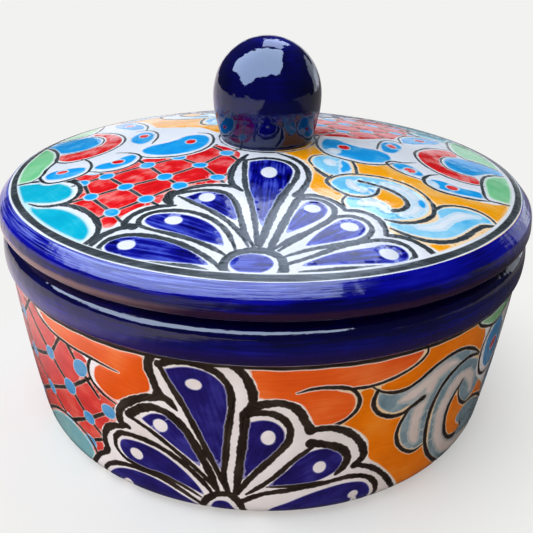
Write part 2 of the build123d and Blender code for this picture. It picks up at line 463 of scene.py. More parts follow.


# %% [markdown]
# The wall's white is warmer and its colours are duller: painted warmth, shade and haze for the dimmer
# light that falls on the upright wall, so each has a palette of its own.

# %% The lid's palette
lid_palette = {
    # opaque white tin glaze, dipped: an even milky ground with a soft gloss
    "ground": glaze("lid_white_tin_glaze", "#D6DFE8", "#E4EAF1", "#EEF3F8", pool_mm=30, roughness=0.18,
                    mirror=0.15),
    # manganese line, brushed: dry and dark, so it looks drawn rather than glazed
    "outline": glaze("lid_manganese_outline", "#5C666C", "#353D42", "#1B2024", edge="#727C7E",
                     edge_mm=0.4, streaky=0.6, roughness=0.2),
    # cobalt, brushed: the deepest colour, with the brush's own streaks where it is thin
    "cobalt": glaze("lid_cobalt", "#4658D0", "#0A0C92", "#020232", edge="#8E9CE4", edge_mm=0.55,
                    pool_mm=10, streaky=0.6, streak_mm=1.5, spread=0.12),
    # red and amber, laid in pools: glassy and full, pale pink or straw where they run thin
    "red": glaze("lid_tomato_red", "#F68A86", "#EA1A22", "#CC060E", edge="#F4A8A0", edge_mm=0.4, pool_mm=9,
                 spread=0.16),
    "amber": glaze("lid_amber", "#FFD084", "#FFAE08", "#FA9E00", edge="#FFE2B4", edge_mm=0.8, pool_mm=18,
                   spread=0.17),
    # copper, laid in pools: clear green and turquoise that melt softly into the white
    "teal": glaze("lid_copper_turquoise", "#40CCDE", "#0AB6D4", "#00A4C6", edge="#C8ECF2", edge_mm=1.5,
                  pool_mm=16),
    "green": glaze("lid_copper_green", "#9AE0AC", "#7AD496", "#62C684", edge="#DCF4E4", edge_mm=1.5),
    # thinned cobalt: sky blue where it is a dab, and pale blue to nearly white where it is a wash
    "sky": glaze("lid_light_cobalt", "#66C4F4", "#14A6F0", "#0496E6", edge="#C0E2F8", edge_mm=0.9,
                 pool_mm=9),
    "pale": glaze("lid_pale_blue", "#A8E2FC", "#7CD2F8", "#50BEF4", edge="#D6EEFB", edge_mm=0.9, pool_mm=9),
    "pale_light": glaze("lid_pale_blue_light", "#DCEEFB", "#E4F2FC", "#EEF7FE", edge="#CCE9FA",
                        edge_mm=1.4),
}


# %% The wall's palette
def wall_glaze(name, *depths, mirror=0.35, **laying):
    """A glaze of the wall, which mirrors about as much as the lid's."""
    return glaze("wall_" + name, *depths, mirror=mirror, **laying)


wall_palette = {
    # the same white, warmer, as painted warm light on the wall
    "ground": wall_glaze("white_tin_glaze", "#E2D8D0", "#F0E8E4", "#F4EEEC", pool_mm=30, streaky=0.15),
    "outline": wall_glaze("manganese_outline", "#46382C", "#2A1E16", "#170F0B", edge="#6E655C",
                          edge_mm=0.4, streaky=0.5, roughness=0.3, mirror=0.25),
    # cobalt, violet and duller than the lid's as painted shade, and nearly without streaks
    "cobalt": wall_glaze("cobalt", "#3A3690", "#201866", "#160E46", edge="#8A88B8", edge_mm=0.5,
                         pool_mm=12, streaky=0.3, streak_mm=1.2),
    # red and orange hold the most glass of all, so they mirror the most
    "red": wall_glaze("tomato_red", "#EA6C58", "#DE3A32", "#C42C28", edge="#EEA496", edge_mm=0.3,
                      pool_mm=11, mirror=0.9),
    "orange": wall_glaze("iron_orange", "#FA8038", "#F05E10", "#DC4A00", edge="#F6D9C4", edge_mm=0.6,
                         pool_mm=24, mirror=0.9),
    "amber": wall_glaze("amber", "#F8962C", "#F27A00", "#DC6800", edge="#F0CFA0", edge_mm=0.6, pool_mm=20,
                        mirror=0.25),
    "teal": wall_glaze("copper_turquoise", "#9ABEBA", "#76ABAE", "#5FA0A6", edge="#D6E8E6", edge_mm=0.7,
                       pool_mm=16),
    "green": wall_glaze("copper_green", "#A8CFA0", "#86BC86", "#6CAA70", edge="#DCEEDC", edge_mm=0.7),
    # thinned cobalt, greyed as painted shade and haze: dabs, a wash, and the wash's light middle
    "sky": wall_glaze("light_cobalt", "#7AAACC", "#4E94C4", "#3480B8", edge="#B4CEE0", edge_mm=0.4,
                      pool_mm=9),
    "slate": wall_glaze("blue_wash", "#9FB0B4", "#7E959C", "#647E88", edge="#B0B8B8", edge_mm=0.5,
                        pool_mm=8),
    "slate_light": wall_glaze("blue_wash_light", "#CFBDB2", "#DCCBC0", "#E4D8D0", edge="#B4B4B0",
                              edge_mm=1.5),
    # unglazed fired clay: matt and gritty, at the foot and under the bowl
    "clay": glaze("bare_red_clay", "#C48A6C", "#AE7052", "#96583E", pool_mm=4, streaky=0.4,
                  roughness=0.55, ripple_mm=0.25, mirror=0.35),
}
print(len(lid_palette), "glazes on the lid and", len(wall_palette), "on the wall")

# %% [markdown]
# ## Painting
# The paint could be masks in a shader, but hundreds of brush strokes there are slow and hard to read.
# Here each stroke and each puddle is an outline in millimetres on a flat sheet: the lid seen from
# above, or the wall unrolled. A triangulation that keeps every outline as an edge turns the sheet into
# mesh, and each triangle takes the glaze of the topmost shape over it, as paint over paint.
# So edges stay crisp at any distance.

# %% Smooth curves
STEP = 0.9                   # between points along a painted edge


def unit(vectors):
    """The same directions in the plane, each 1 long."""
    return vectors / np.maximum(np.hypot(*vectors.T), 1e-9)[:, None]


def curve_through(points):
    """A smooth open curve through points, by centripetal Catmull-Rom."""
    p = [np.array(q, float) for q in points]
    if len(p) == 2:
        count = max(2, ceil(np.hypot(*(p[1] - p[0])) / STEP) + 1)
        return [p[0] + (p[1] - p[0]) * t for t in np.linspace(0, 1, count)]
    p = [2 * p[0] - p[1]] + p + [2 * p[-1] - p[-2]]
    result = []
    for p0, p1, p2, p3 in zip(p, p[1:], p[2:], p[3:]):
        d1, d2, d3 = (max(1e-6, np.hypot(*(b - a)) ** 0.5) for a, b in ((p0, p1), (p1, p2), (p2, p3)))
        m1 = (p1 - p0) / d1 - (p2 - p0) / (d1 + d2) + (p2 - p1) / d2
        m2 = (p2 - p1) / d2 - (p3 - p1) / (d2 + d3) + (p3 - p2) / d3
        m1, m2 = m1 * d2, m2 * d2
        count = max(1, ceil(d2 * d2 / STEP))
        for t in np.arange(count) / count:
            a = 2 * t**3 - 3 * t**2
            result.append((a + 1) * p1 + (t**3 - 2 * t**2 + t) * m1 - a * p2 + (t**3 - t**2) * m2)
    return result + [p[-2]]


def closed_curve(points):
    """A smooth loop through points. A point given twice in a row is a corner."""
    points = [tuple(p) for p in points]
    corners = [n for n in range(len(points)) if points[n] == points[n - 1]]
    if not corners:
        around = curve_through(points[-2:] + points + points[:2])
        first = next(n for n, p in enumerate(around) if np.hypot(*(p - np.array(points[0]))) < 1e-9)
        last = max(n for n, p in enumerate(around) if np.hypot(*(p - np.array(points[0]))) < 1e-9)
        return np.array(around[first:last])
    points = points[corners[0]:] + points[:corners[0]]
    spans, span = [], [points[0]]
    for n in range(1, len(points)):
        if points[n] == points[n - 1]:
            spans.append(span)
            span = []
        span.append(points[n])
    spans.append(span)
    result = []
    for span, following in zip(spans, spans[1:] + spans[:1]):
        if span[-1] != following[0]:
            span = span + [following[0]]
        if len(span) > 1:
            result += curve_through(span)[:-1]
    return np.array(result)


# %% Strokes and puddles
class Sheet:
    """A flat sheet of paint: shapes in the order that they are painted, each set down where place says."""

    def __init__(self, place=lambda x, y: (x, y)):
        self.shapes = []
        self.place = place

    def placed(self, points):
        """The points where the motif is put on the sheet."""
        return [tuple(self.place(*p)) for p in points]

    def keep(self, pigment, loops, middle=(), grain=None):
        """Keeps a shape. Its brush went along the grain, or else along its longer way."""
        if grain is None:
            spread = np.concatenate(loops) - np.concatenate(loops).mean(axis=0)
            grain = np.linalg.svd(spread, full_matrices=False)[2][0]
        self.shapes.append((pigment, loops, list(middle), grain))

    def fill(self, pigment, *points, grow=0.0):
        """A puddle of glaze within a smooth loop, which can run past it on all sides."""
        loop = closed_curve(self.placed(points))
        if grow:
            ahead = unit(np.roll(loop, -1, axis=0) - np.roll(loop, 1, axis=0))
            out = np.column_stack([ahead[:, 1], -ahead[:, 0]])
            way = np.sign(np.sum(loop[:, 0] * ahead[:, 1] - loop[:, 1] * ahead[:, 0]))
            loop = loop + grow * way * out
        self.keep(pigment, [loop])

    def dot(self, pigment, x, y, half_width, half_height, tilt=0):
        """An oval dab."""
        t = np.linspace(0, 2 * pi, 20, endpoint=False)
        across, up = half_width * np.cos(t), half_height * np.sin(t) * (1 + 0.06 * np.cos(t))
        c, s = cos(radians(tilt)), sin(radians(tilt))
        centre, right, top = (np.array(self.place(*p)) for p in ((x, y), (x + 0.5, y), (x, y + 0.5)))
        right, top = unit(np.array([right - centre, top - centre]))
        loop = centre + np.outer(across * c - up * s, right) + np.outer(across * s + up * c, top)
        self.keep(pigment, [loop])

    def line(self, width, *points, start=0.7, end=0.5, pigment="outline"):
        """A brush stroke. Start and end are its widths there, as shares of the width between."""
        middle = np.array(curve_through(self.placed(points)))
        step = np.hypot(*np.diff(middle, axis=0).T)
        run = np.concatenate([[0], np.cumsum(step)])
        ramp = np.clip(run / max(4, run[-1] * 0.25), 0, 1)
        fall = np.clip((run[-1] - run) / max(4, run[-1] * 0.25), 0, 1)
        share = (start + (1 - start) * np.sin(ramp * pi / 2)) * (end + (1 - end) * np.sin(fall * pi / 2))
        phase = middle[0][0] + 2 * middle[0][1]
        share = share * (1 + 0.08 * np.sin(run * 0.45 + phase))
        half = share * width / 2
        near, far = ((half * (1 + 0.06 * np.sin(run * 1.1 + p) + 0.07 * np.sin(run * 2.3 + 3 * p)))[:, None]
                     for p in (phase, phase + 2))
        ahead = unit(np.gradient(middle, axis=0))
        left = np.column_stack([-ahead[:, 1], ahead[:, 0]])
        t = np.linspace(-pi / 2, pi / 2, 7)[1:-1][:, None]
        tip = middle[-1] + near[-1] * (np.cos(t) * ahead[-1] + np.sin(t) * left[-1])
        tail = middle[0] - near[0] * (np.cos(t) * ahead[0] + np.sin(t) * left[0])
        loop = np.concatenate([middle - left * near, tip, (middle + left * far)[::-1], tail])
        self.keep(pigment, [loop], middle, ahead[len(ahead) // 2])

    def ring(self, pigment, x, y, inner, outer, wobble=0.25):
        """A ring painted while the pot turns on the wheel."""
        t = np.linspace(0, 2 * pi, max(60, int(2 * pi * outer / STEP)), endpoint=False)
        sway = wobble * (np.sin(3 * t + x) + 0.5 * np.sin(11 * t) + 0.3 * np.sin(29 * t))
        loops, centre = [], np.array([x, y])
        for radius, way in ((inner, -1), (outer, 1)):
            r = (radius + sway * (1 if way > 0 else -0.7))[:, None]
            loops.append((centre + r * np.column_stack([np.cos(t), np.sin(t)]))[::way])
        r = (inner + outer) / 2
        middle = centre + r * np.column_stack([np.cos(t), np.sin(t)])
        self.keep(pigment, loops, middle, np.array([1.0, 0.0]))


print("a stroke of 9 mm has", len(curve_through([(0, 0), (9, 0)])), "points along it")

# %% [markdown]
# The sheet becomes mesh in two steps. First it is cut into triangles, and each is asked which shape
# lies on top of it. Then each point learns how far it is from the nearest change of colour: the glaze
# fades there, and it swells a tenth of a millimetre towards the middle of each puddle.

# %% Which triangles a shape covers
def turns_round(points, loops):
    """How often the loops go round each point."""
    turns = np.zeros(len(points), int)
    for loop in loops:
        low, high = loop.min(axis=0), loop.max(axis=0)
        near = np.nonzero(np.all((points > low) & (points < high), axis=1))[0]
        if len(near) == 0:
            continue
        p = points[near]
        count = np.zeros(len(near), int)
        for a, b in zip(loop, np.roll(loop, -1, axis=0)):
            if a[1] == b[1]:
                continue
            side = (b[0] - a[0]) * (p[:, 1] - a[1]) - (p[:, 0] - a[0]) * (b[1] - a[1])
            if a[1] < b[1]:
                count += (a[1] <= p[:, 1]) & (p[:, 1] < b[1]) & (side > 0)
            else:
                count -= (b[1] <= p[:, 1]) & (p[:, 1] < a[1]) & (side < 0)
        turns[near] += count
    return turns


# %% From shapes to triangles
SPACING = 2.0                # between points where nothing is painted


def triangles_of(sheet, borders, on_sheet):
    """The sheet's points and triangles, and the number of the shape on top of each triangle."""
    points, edges = [], []
    for loop in borders + [loop for shape in sheet.shapes for loop in shape[1]]:
        start = len(points)
        points += [tuple(p) for p in loop]
        edges += [(start + n, start + (n + 1) % len(loop)) for n in range(len(loop))]
    for shape in sheet.shapes:
        points += [tuple(p) for p in shape[2]]
    spread = np.concatenate(borders)
    low, high = spread.min(axis=0), spread.max(axis=0)
    rows = np.arange(low[1] + SPACING / 2, high[1], SPACING * 0.866)
    for n, y in enumerate(rows):
        points += [(x, y) for x in np.arange(low[0] + SPACING * (0.4 + 0.5 * (n % 2)), high[0], SPACING)]
    made = delaunay_2d_cdt([Vector(p) for p in points], edges, [], 0, 0.02, False)
    points, faces = np.array([tuple(p) for p in made[0]]), np.array([tuple(f) for f in made[2]])
    a, b, c = points[faces[:, 0]], points[faces[:, 1]], points[faces[:, 2]]
    area = (b[:, 0] - a[:, 0]) * (c[:, 1] - a[:, 1]) - (b[:, 1] - a[:, 1]) * (c[:, 0] - a[:, 0])
    faces[area < 0] = faces[area < 0][:, ::-1]
    middles = (a + b + c) / 3
    keep = on_sheet(middles) & (abs(area) > 1e-7)
    faces, middles = faces[keep], middles[keep]
    top = np.full(len(faces), -1)
    for n, shape in enumerate(sheet.shapes):
        top[turns_round(middles, shape[1]) != 0] = n
    used = np.unique(faces)
    renumber = np.full(len(points), -1)
    renumber[used] = np.arange(len(used))
    return points[used], renumber[faces], top


# %% Painted edges and open edges
def paint_edges(points, faces, glaze_of):
    """Distance of each point to the nearest change of glaze, and the way there."""
    sides = {}
    for n, face in enumerate(faces):
        for a, b in zip(face, np.roll(face, -1)):
            sides.setdefault((min(a, b), max(a, b)), []).append(n)
    change = []
    for (a, b), owners in sides.items():
        if len(owners) == 2 and glaze_of[owners[0]] != glaze_of[owners[1]]:
            count = max(1, int(np.hypot(*(points[b] - points[a])) / 0.3))
            change += [points[a] + (points[b] - points[a]) * t for t in np.linspace(0, 1, count + 1)]
    tree = KDTree(len(change))
    for n, p in enumerate(change):
        tree.insert((p[0], p[1], 0), n)
    tree.balance()
    away, distance = np.zeros_like(points), np.zeros(len(points))
    for n, p in enumerate(points):
        nearest, _, distance[n] = tree.find((p[0], p[1], 0))
        if distance[n] > 1e-4:
            away[n] = (p - np.array(nearest[:2])) / distance[n]
    return distance, away


def ordered_loops(faces):
    """The open boundaries of a mesh of triangles, each as points in order."""
    follow = {}
    known = {(a, b) for face in faces for a, b in zip(face, np.roll(face, -1))}
    for a, b in known:
        if (b, a) not in known:
            follow[a] = b
    loops = []
    while follow:
        start = next(iter(follow))
        loop, here = [start], follow.pop(start)
        while here != start:
            loop.append(here)
            here = follow.pop(here)
        loops.append(loop)
    return loops

# %% [markdown]
# ## The shell fan
# The main motif is a shell: petals of cobalt that spread from a small hub, each with a white dab, a
# black outline and a white band, and a scalloped black line round them all. It is painted once on each
# half of the lid and once on each half of the wall, by eye, so no two petals match. The points below
# are where the brush went.

# %% Fan on the lid
lid = Sheet()
fill, line, dot = lid.fill, lid.line, lid.dot


def lid_fan():
    """The fan, with its hub at the front edge of the lid."""
    fill("ground", (-9, -110), (-30, -107), (-50, -100), (-62, -92.5), (-56, -84), (-50, -77), (-51, -73),
         (-44, -68.5), (-37, -68), (-36.5, -62), (-29, -56.5), (-20, -53), (-13, -53), (-15, -44),
         (-13, -34), (-9, -25), (-2, -21.5), (6, -21.5), (13.5, -27), (18.5, -38), (18.5, -48), (15.5, -59),
         (25, -62.5), (30.5, -68.5), (37, -69), (44.5, -75), (46, -82.5), (54, -85), (63, -92), (48, -101),
         (20, -108))
    # scalloped line round the fan
    line(2.9, (-8, -24.5), (-12, -34), (-14, -44), (-13.2, -54), (-9, -59.8), start=0.5, end=0.6)
    line(2.7, (-10.5, -57.5), (-15, -55.6), (-21, -54.6), (-28, -55.8), (-34, -59), (-37, -62), start=0.4,
         end=1.2)
    line(4.3, (-36, -60), (-37.4, -64), (-35.5, -68.8), start=1.1, end=0.5)
    line(2.9, (-34, -69.5), (-41, -69.6), (-47, -72), (-51, -76.5), (-51.5, -80), (-48, -82), start=0.5,
         end=1.3)
    line(3.1, (-48, -81.5), (-54, -82.6), (-59, -86), (-62, -91), start=1, end=0.8)
    line(2.6, (5, -22.5), (11.5, -28), (16, -36), (17.3, -46), (15, -56), (11.8, -62.5), start=0.5, end=1.6)
    line(2.5, (12, -63), (18, -61.6), (25, -64.2), (29, -68.5), (30, -71), start=1.4, end=0.7)
    line(2.5, (30, -71), (36.5, -70.8), (42, -74.5), (44, -80), (44, -84.5), start=0.7, end=0.9)
    line(2.5, (44, -84.6), (50.5, -84.8), (56.5, -87.8), (60.8, -92.5), start=0.7, end=1.1)
    # middle petal
    fill("cobalt", (-6.4, -33), (-6.4, -33), (1, -31), (7, -33.5), (10.3, -40), (9.2, -50), (6, -60),
         (2.6, -72), (-0.8, -84), (-0.8, -84), (-3.2, -74), (-5.4, -60), (-6.6, -45), grow=0.6)
    line(2.4, (-8.8, -31), (-8.8, -40), (-8, -55), (-5.6, -68), (-3.6, -82), (-2.6, -95.5), start=1, end=0.8)
    line(2.5, (-8.5, -31.2), (-2, -28.8), (4, -29.2), (9.5, -32.6), (12.7, -39.5), (12.4, -46.5), (9.6, -56),
         start=0.8, end=0.8)
    line(3.4, (10, -54), (6.4, -64), (3.4, -74), (0.6, -86), (-1.6, -96), start=0.8, end=0.6)
    dot("ground", 1.2, -43.2, 3.2, 5)
    # three petals on the left
    fill("cobalt", (-30.5, -64), (-30.5, -64), (-24.5, -60.8), (-17, -62), (-12.6, -68.5), (-10.6, -77),
         (-10.8, -80.5), (-10.8, -80.5), (-16, -76), (-24, -69), grow=0.6)
    line(2.5, (-35, -61), (-29, -59.2), (-22, -58.8), (-15, -61.8), (-11.2, -69), (-9, -79), (-7.2, -88),
         (-3.6, -97))
    line(2.3, (-33.5, -62.5), (-28, -67.5), (-20, -74.4), (-13, -82.2), (-8.5, -89.5), (-5.6, -96.5),
         start=0.5)
    dot("ground", -22.4, -64.4, 3.1, 3.2, 15)
    fill("cobalt", (-43.8, -78.6), (-42, -76), (-36, -75.3), (-28, -77.6), (-21, -82.4), (-16.4, -89),
         (-14.6, -95.5), (-14.6, -95.5), (-22, -92.4), (-32, -87), (-40, -83), grow=0.6)
    line(2.4, (-40.5, -85), (-45.6, -81.5), (-46.4, -77.6), (-43, -73.8), (-36, -72.8), (-28, -74.4),
         (-20, -79.4), (-14.2, -86.6), (-11.2, -94), (-9.8, -99))
    line(2.3, (-41, -84.8), (-34, -88), (-25, -92.6), (-17, -98), (-13, -101.5), start=0.7)
    dot("ground", -33.5, -79.6, 3.3, 2.6, -15)
    fill("cobalt", (-56.2, -92.6), (-54, -89.4), (-48, -88.6), (-40, -90.6), (-31, -95), (-23.6, -101),
         (-19.4, -105.6), (-19.4, -105.6), (-30, -103.6), (-42, -101), (-51, -98.2), grow=0.6)
    line(2.4, (-51, -100), (-57, -96), (-58.6, -92.6), (-56, -88.6), (-50, -86.8), (-42, -88.2),
         (-32, -92.6), (-23, -99), (-16.5, -105.5), (-14, -109.5))
    line(2.1, (-52, -99.4), (-44, -102.6), (-34, -104.8), (-25, -106.4), (-18, -109.4), start=0.6, end=0.6)
    dot("ground", -48.8, -92.7, 3.2, 2.6, -10)
    # three petals on the right
    fill("cobalt", (14.6, -69.4), (16.6, -67), (20.5, -67), (22.8, -71), (21.2, -76.4), (15, -82.6),
         (8, -87.8), (8, -87.8), (10.4, -79), grow=0.6)
    line(3.1, (12.2, -65.8), (8.8, -76), (5, -88), (1.8, -98), start=1, end=0.7)
    line(2.5, (12.4, -65.4), (17.5, -64.4), (23, -66.2), (26, -71), (24.4, -77.4), (17.5, -85.2), (8, -93),
         (2, -99), start=0.8)
    dot("ground", 17.6, -71.4, 3.1, 2.7)
    fill("cobalt", (26, -80.4), (29.5, -77.6), (33.5, -77.6), (36.2, -81), (34.4, -86), (26, -90.6),
         (14.8, -94.8), (14.8, -94.8), (19.6, -87.4), grow=0.6)
    line(2.3, (5, -98.4), (13.6, -89.6), (21, -81.6), (27, -76), (32.5, -74.8), (37.6, -77.4), (39, -82.4),
         (36, -88), (28, -92.4), (16, -97), (6, -102), start=0.6)
    dot("ground", 30.8, -81.8, 3.3, 2.6)
    fill("cobalt", (38, -93.4), (43, -91), (48, -91.4), (50.2, -94.6), (48.6, -98.4), (40, -100.8),
         (27, -103.2), (13.2, -105.6), (13.2, -105.6), (24, -99), grow=0.6)
    line(2.3, (5.5, -106.5), (15, -101.6), (26, -94.8), (36, -89.8), (44, -87.8), (50.4, -89.4), (53, -94.2),
         (50, -99.6), (42, -102.8), (28, -105.6), (12, -109), start=0.6)
    dot("ground", 43.6, -95.6, 3.4, 2.9, -10)
    # hub
    line(3.5, (-12, -111), (-13.6, -106), (-11, -101), (-5, -98.6), (2, -99.4), (6, -103), (6.6, -108),
         (5.4, -111.5), start=1, end=1)
    fill("ground", (-11.4, -109), (-11.9, -105.2), (-8.8, -101.4), (-3.4, -100.3), (2, -101.9),
         (3.6, -105.6), (0.8, -109.3), (-4.4, -110.6))
    fill("cobalt", (-11.2, -105.4), (-8.6, -102), (-3.6, -101), (1.4, -102.6), (2.8, -105.6), (0.4, -108.6),
         (-4.4, -109.8), (-9.4, -108.4), grow=0.6)


# %% [markdown]
# ## The net, the scroll and the flowers
# Between the fans lie a red net knotted with blue, a scroll of pale blue on amber, and half flowers
# that open from the edge between green leaves. They are old patterns of this pottery.

# %% Net on the lid
def lid_net():
    """Red net with blue knots, and the turquoise leaf beside it."""
    fill("red", (-24, -11), (-11.6, -22), (-11.4, -28), (-15.6, -40), (-16.2, -52.6), (-24, -53.4),
         (-33, -56), (-38, -60), (-40, -66.6), (-48, -69.4), (-53, -74), (-56, -80.6), (-59.8, -80.4),
         (-63, -74), (-70, -66), (-77.4, -59), (-73.6, -52), (-76, -46), (-82, -38.4), (-87, -35),
         (-80, -30), (-60, -22), (-40, -12))
    rows = [
        [(-84, -45), (-75.5, -42), (-66, -38.6), (-50, -31.5), (-37.5, -25.5), (-22, -11)],
        [(-78, -58.5), (-69, -56), (-56, -51), (-41, -45), (-27.5, -35.4), (-17, -22.6), (-11, -17)],
        [(-64, -75), (-58, -70.6), (-46, -63), (-34, -54), (-19.4, -48), (-13, -43)],
    ]
    columns = [
        [(-84, -33), (-75.5, -42), (-69, -56), (-58, -70.6), (-53, -78)],
        [(-73, -30), (-66, -38.6), (-56, -51), (-46, -63), (-40, -69)],
        [(-57, -22), (-50, -31.5), (-41, -45), (-34, -54), (-30, -60)],
        [(-42, -18), (-37.5, -25.5), (-27.5, -35.4), (-19.4, -48), (-15, -56)],
        [(-24, -13), (-17, -22.6), (-12, -31)],
    ]
    for strand in rows + columns:
        line(1.6, *strand, start=0.9, end=0.8)
    for row in rows:
        for n, (x, y) in enumerate(row[1:-1]):
            dot("sky", x, y, 3.5, 2.8 + 0.3 * (n % 3), -35 + 20 * (n % 2))
    dot("sky", -73, -33, 3.2, 1.7, -20)
    fill("teal", (-110, -30.5), (-100, -31.8), (-92, -34.6), (-86, -37.6), (-80.4, -42.6), (-77.4, -48.4),
         (-77.6, -53.6), (-80.6, -56), (-86, -56.2), (-95, -52.5), (-95, -52.5), (-90, -57.6), (-83.6, -60),
         (-77.6, -63.2), (-71, -69.2), (-66, -76), (-63.6, -82.6), (-64.6, -87), (-68, -89), (-76, -86),
         (-92, -68), (-104, -50))
    line(2.2, (-111, -29.4), (-101, -30), (-92, -32.6), (-84, -36.2), (-77.8, -41.4), (-74.9, -48),
         (-75.2, -54), (-78.6, -57.8), (-84, -58.4), (-90, -56.4), (-95.4, -52.2), start=0.5, end=0.25)
    line(2.6, (-84, -57.8), (-77, -60.4), (-70, -65.8), (-64, -73.2), (-61, -80.6), (-61.6, -86),
         (-65, -90.4), start=0.5, end=0.9)


# %% Scroll on the lid
def lid_amber():
    """The amber that the scroll lies on."""
    fill("amber", (4, -20), (12, -8), (22, -5), (34, -16), (52, -20), (70, -30), (92, -41), (106, -41.5),
         (101, -55), (91, -70), (78, -84), (62, -95), (50, -88), (40, -76), (20, -60), (10, -40))


def lid_scroll():
    """A bud, a curl and a long tail in pale blue."""
    fill("pale", (19.4, -31), (20.4, -25), (25, -21.8), (31, -21.8), (34.8, -26), (35.8, -33), (34.6, -39.6),
         (29, -43), (24.6, -41), (21.2, -36.6))
    line(4.4, (32.4, -27), (33.6, -33), (31.6, -38.6), pigment="sky", start=0.5, end=0.5)
    dot("pale_light", 26.8, -29.6, 2.2, 3.6, 10)
    line(1.5, (27, -20.4), (32, -20.6), (35.8, -24), (37.4, -31), (37.4, -39.4), start=0.5, end=1)
    line(1.1, (24.6, -20.6), (20, -23.6), (18.2, -29), (19.6, -35), start=0.6)
    line(2.2, (19.8, -36), (22, -40.4), (24.4, -44), start=0.4, end=1.1)
    fill("pale", (30.6, -65), (31.4, -61), (36, -59.4), (42, -59.4), (47, -63), (49, -68), (46.6, -71.6),
         (54, -74.6), (60, -73.4), (66, -68.6), (66.4, -62), (70, -58.8), (76, -56.4), (82, -56.4),
         (86.8, -58.8), (89.4, -63.6), (89.4, -63.6), (84, -65.2), (79, -69.8), (73, -76.6), (67, -81),
         (60, -82.6), (52, -81.6), (46, -78.8), (40, -74.4), (34, -71.4))
    line(4.2, (57, -77), (65, -74), (71, -67), (77, -62), (83.6, -60.6), pigment="pale_light", start=0.5,
         end=0.4)
    line(4.6, (37, -64.6), (41, -62.8), (45, -64.6), (46.4, -68), pigment="pale_light", start=0.6, end=0.6)
    fill("pale", (25.8, -50), (28.6, -44.8), (33.6, -42), (42, -41), (50, -41.8), (57, -45.4), (62, -51.4),
         (64, -58), (62.4, -65), (57, -70.8), (50, -73.2), (44.4, -72), (49.6, -68), (53.4, -64.6),
         (54.4, -59), (51, -54), (46, -50.6), (44.4, -54), (40, -57.6), (35, -58.2), (30.4, -56.8),
         (27.4, -54))
    line(4.4, (47.5, -45.6), (54, -48.6), (58.6, -54), (59.4, -60), (57, -65.4), (51.6, -69.4),
         pigment="pale_light", start=0.5, end=0.5)
    line(4.0, (33.8, -46.8), (34.6, -51), (38, -54.4), pigment="pale_light", start=0.6, end=0.6)
    dot("sky", 61.2, -58.6, 1.9, 3.6)
    dot("sky", 42, -53.4, 1.6, 2.4, 30)
    fill("amber", (45.8, -51.6), (49.6, -53), (52.6, -57), (52, -61.6), (48.4, -60.8), (44.6, -58.6),
         (44.8, -54.6))
    line(2.2, (38, -46), (43.6, -47.8), (49.6, -50.6), (54.2, -55.6), (55.3, -60.6), (53, -65),
         (48.8, -67.4), start=1, end=1.3)
    line(1.7, (27, -42.6), (24.4, -47.6), (24.8, -51), (28.6, -56.4), (33.6, -59.8), (39.6, -59),
         (43.6, -55.6), (45.2, -50.6), start=0.6, end=0.7)
    line(1.5, (24.6, -48), (28.6, -43.2), (34, -40.2), (42.6, -39.2), (51, -40.2), (58.4, -43.8),
         (63.6, -50.2), (66, -58), start=0.6, end=1)
    line(2.1, (66, -57.4), (64.6, -65.6), (58.6, -72.2), (50.4, -75.2), (44.4, -74.4), start=1, end=0.4)
    line(1.2, (31.4, -59.6), (29.4, -64), (30.6, -69), start=0.8, end=0.4)
    line(1.6, (65.8, -61.4), (70, -57.2), (76, -54.8), (82.4, -54.8), (87.6, -57.6), (90.8, -64), start=1.2,
         end=0.6)
    line(2.4, (46, -79.8), (52.6, -83.2), (60, -84.6), (68, -82.6), (74.6, -77.6), (79.6, -71.6),
         (84.4, -66.8), (90.4, -64.4), start=0.4, end=0.7)


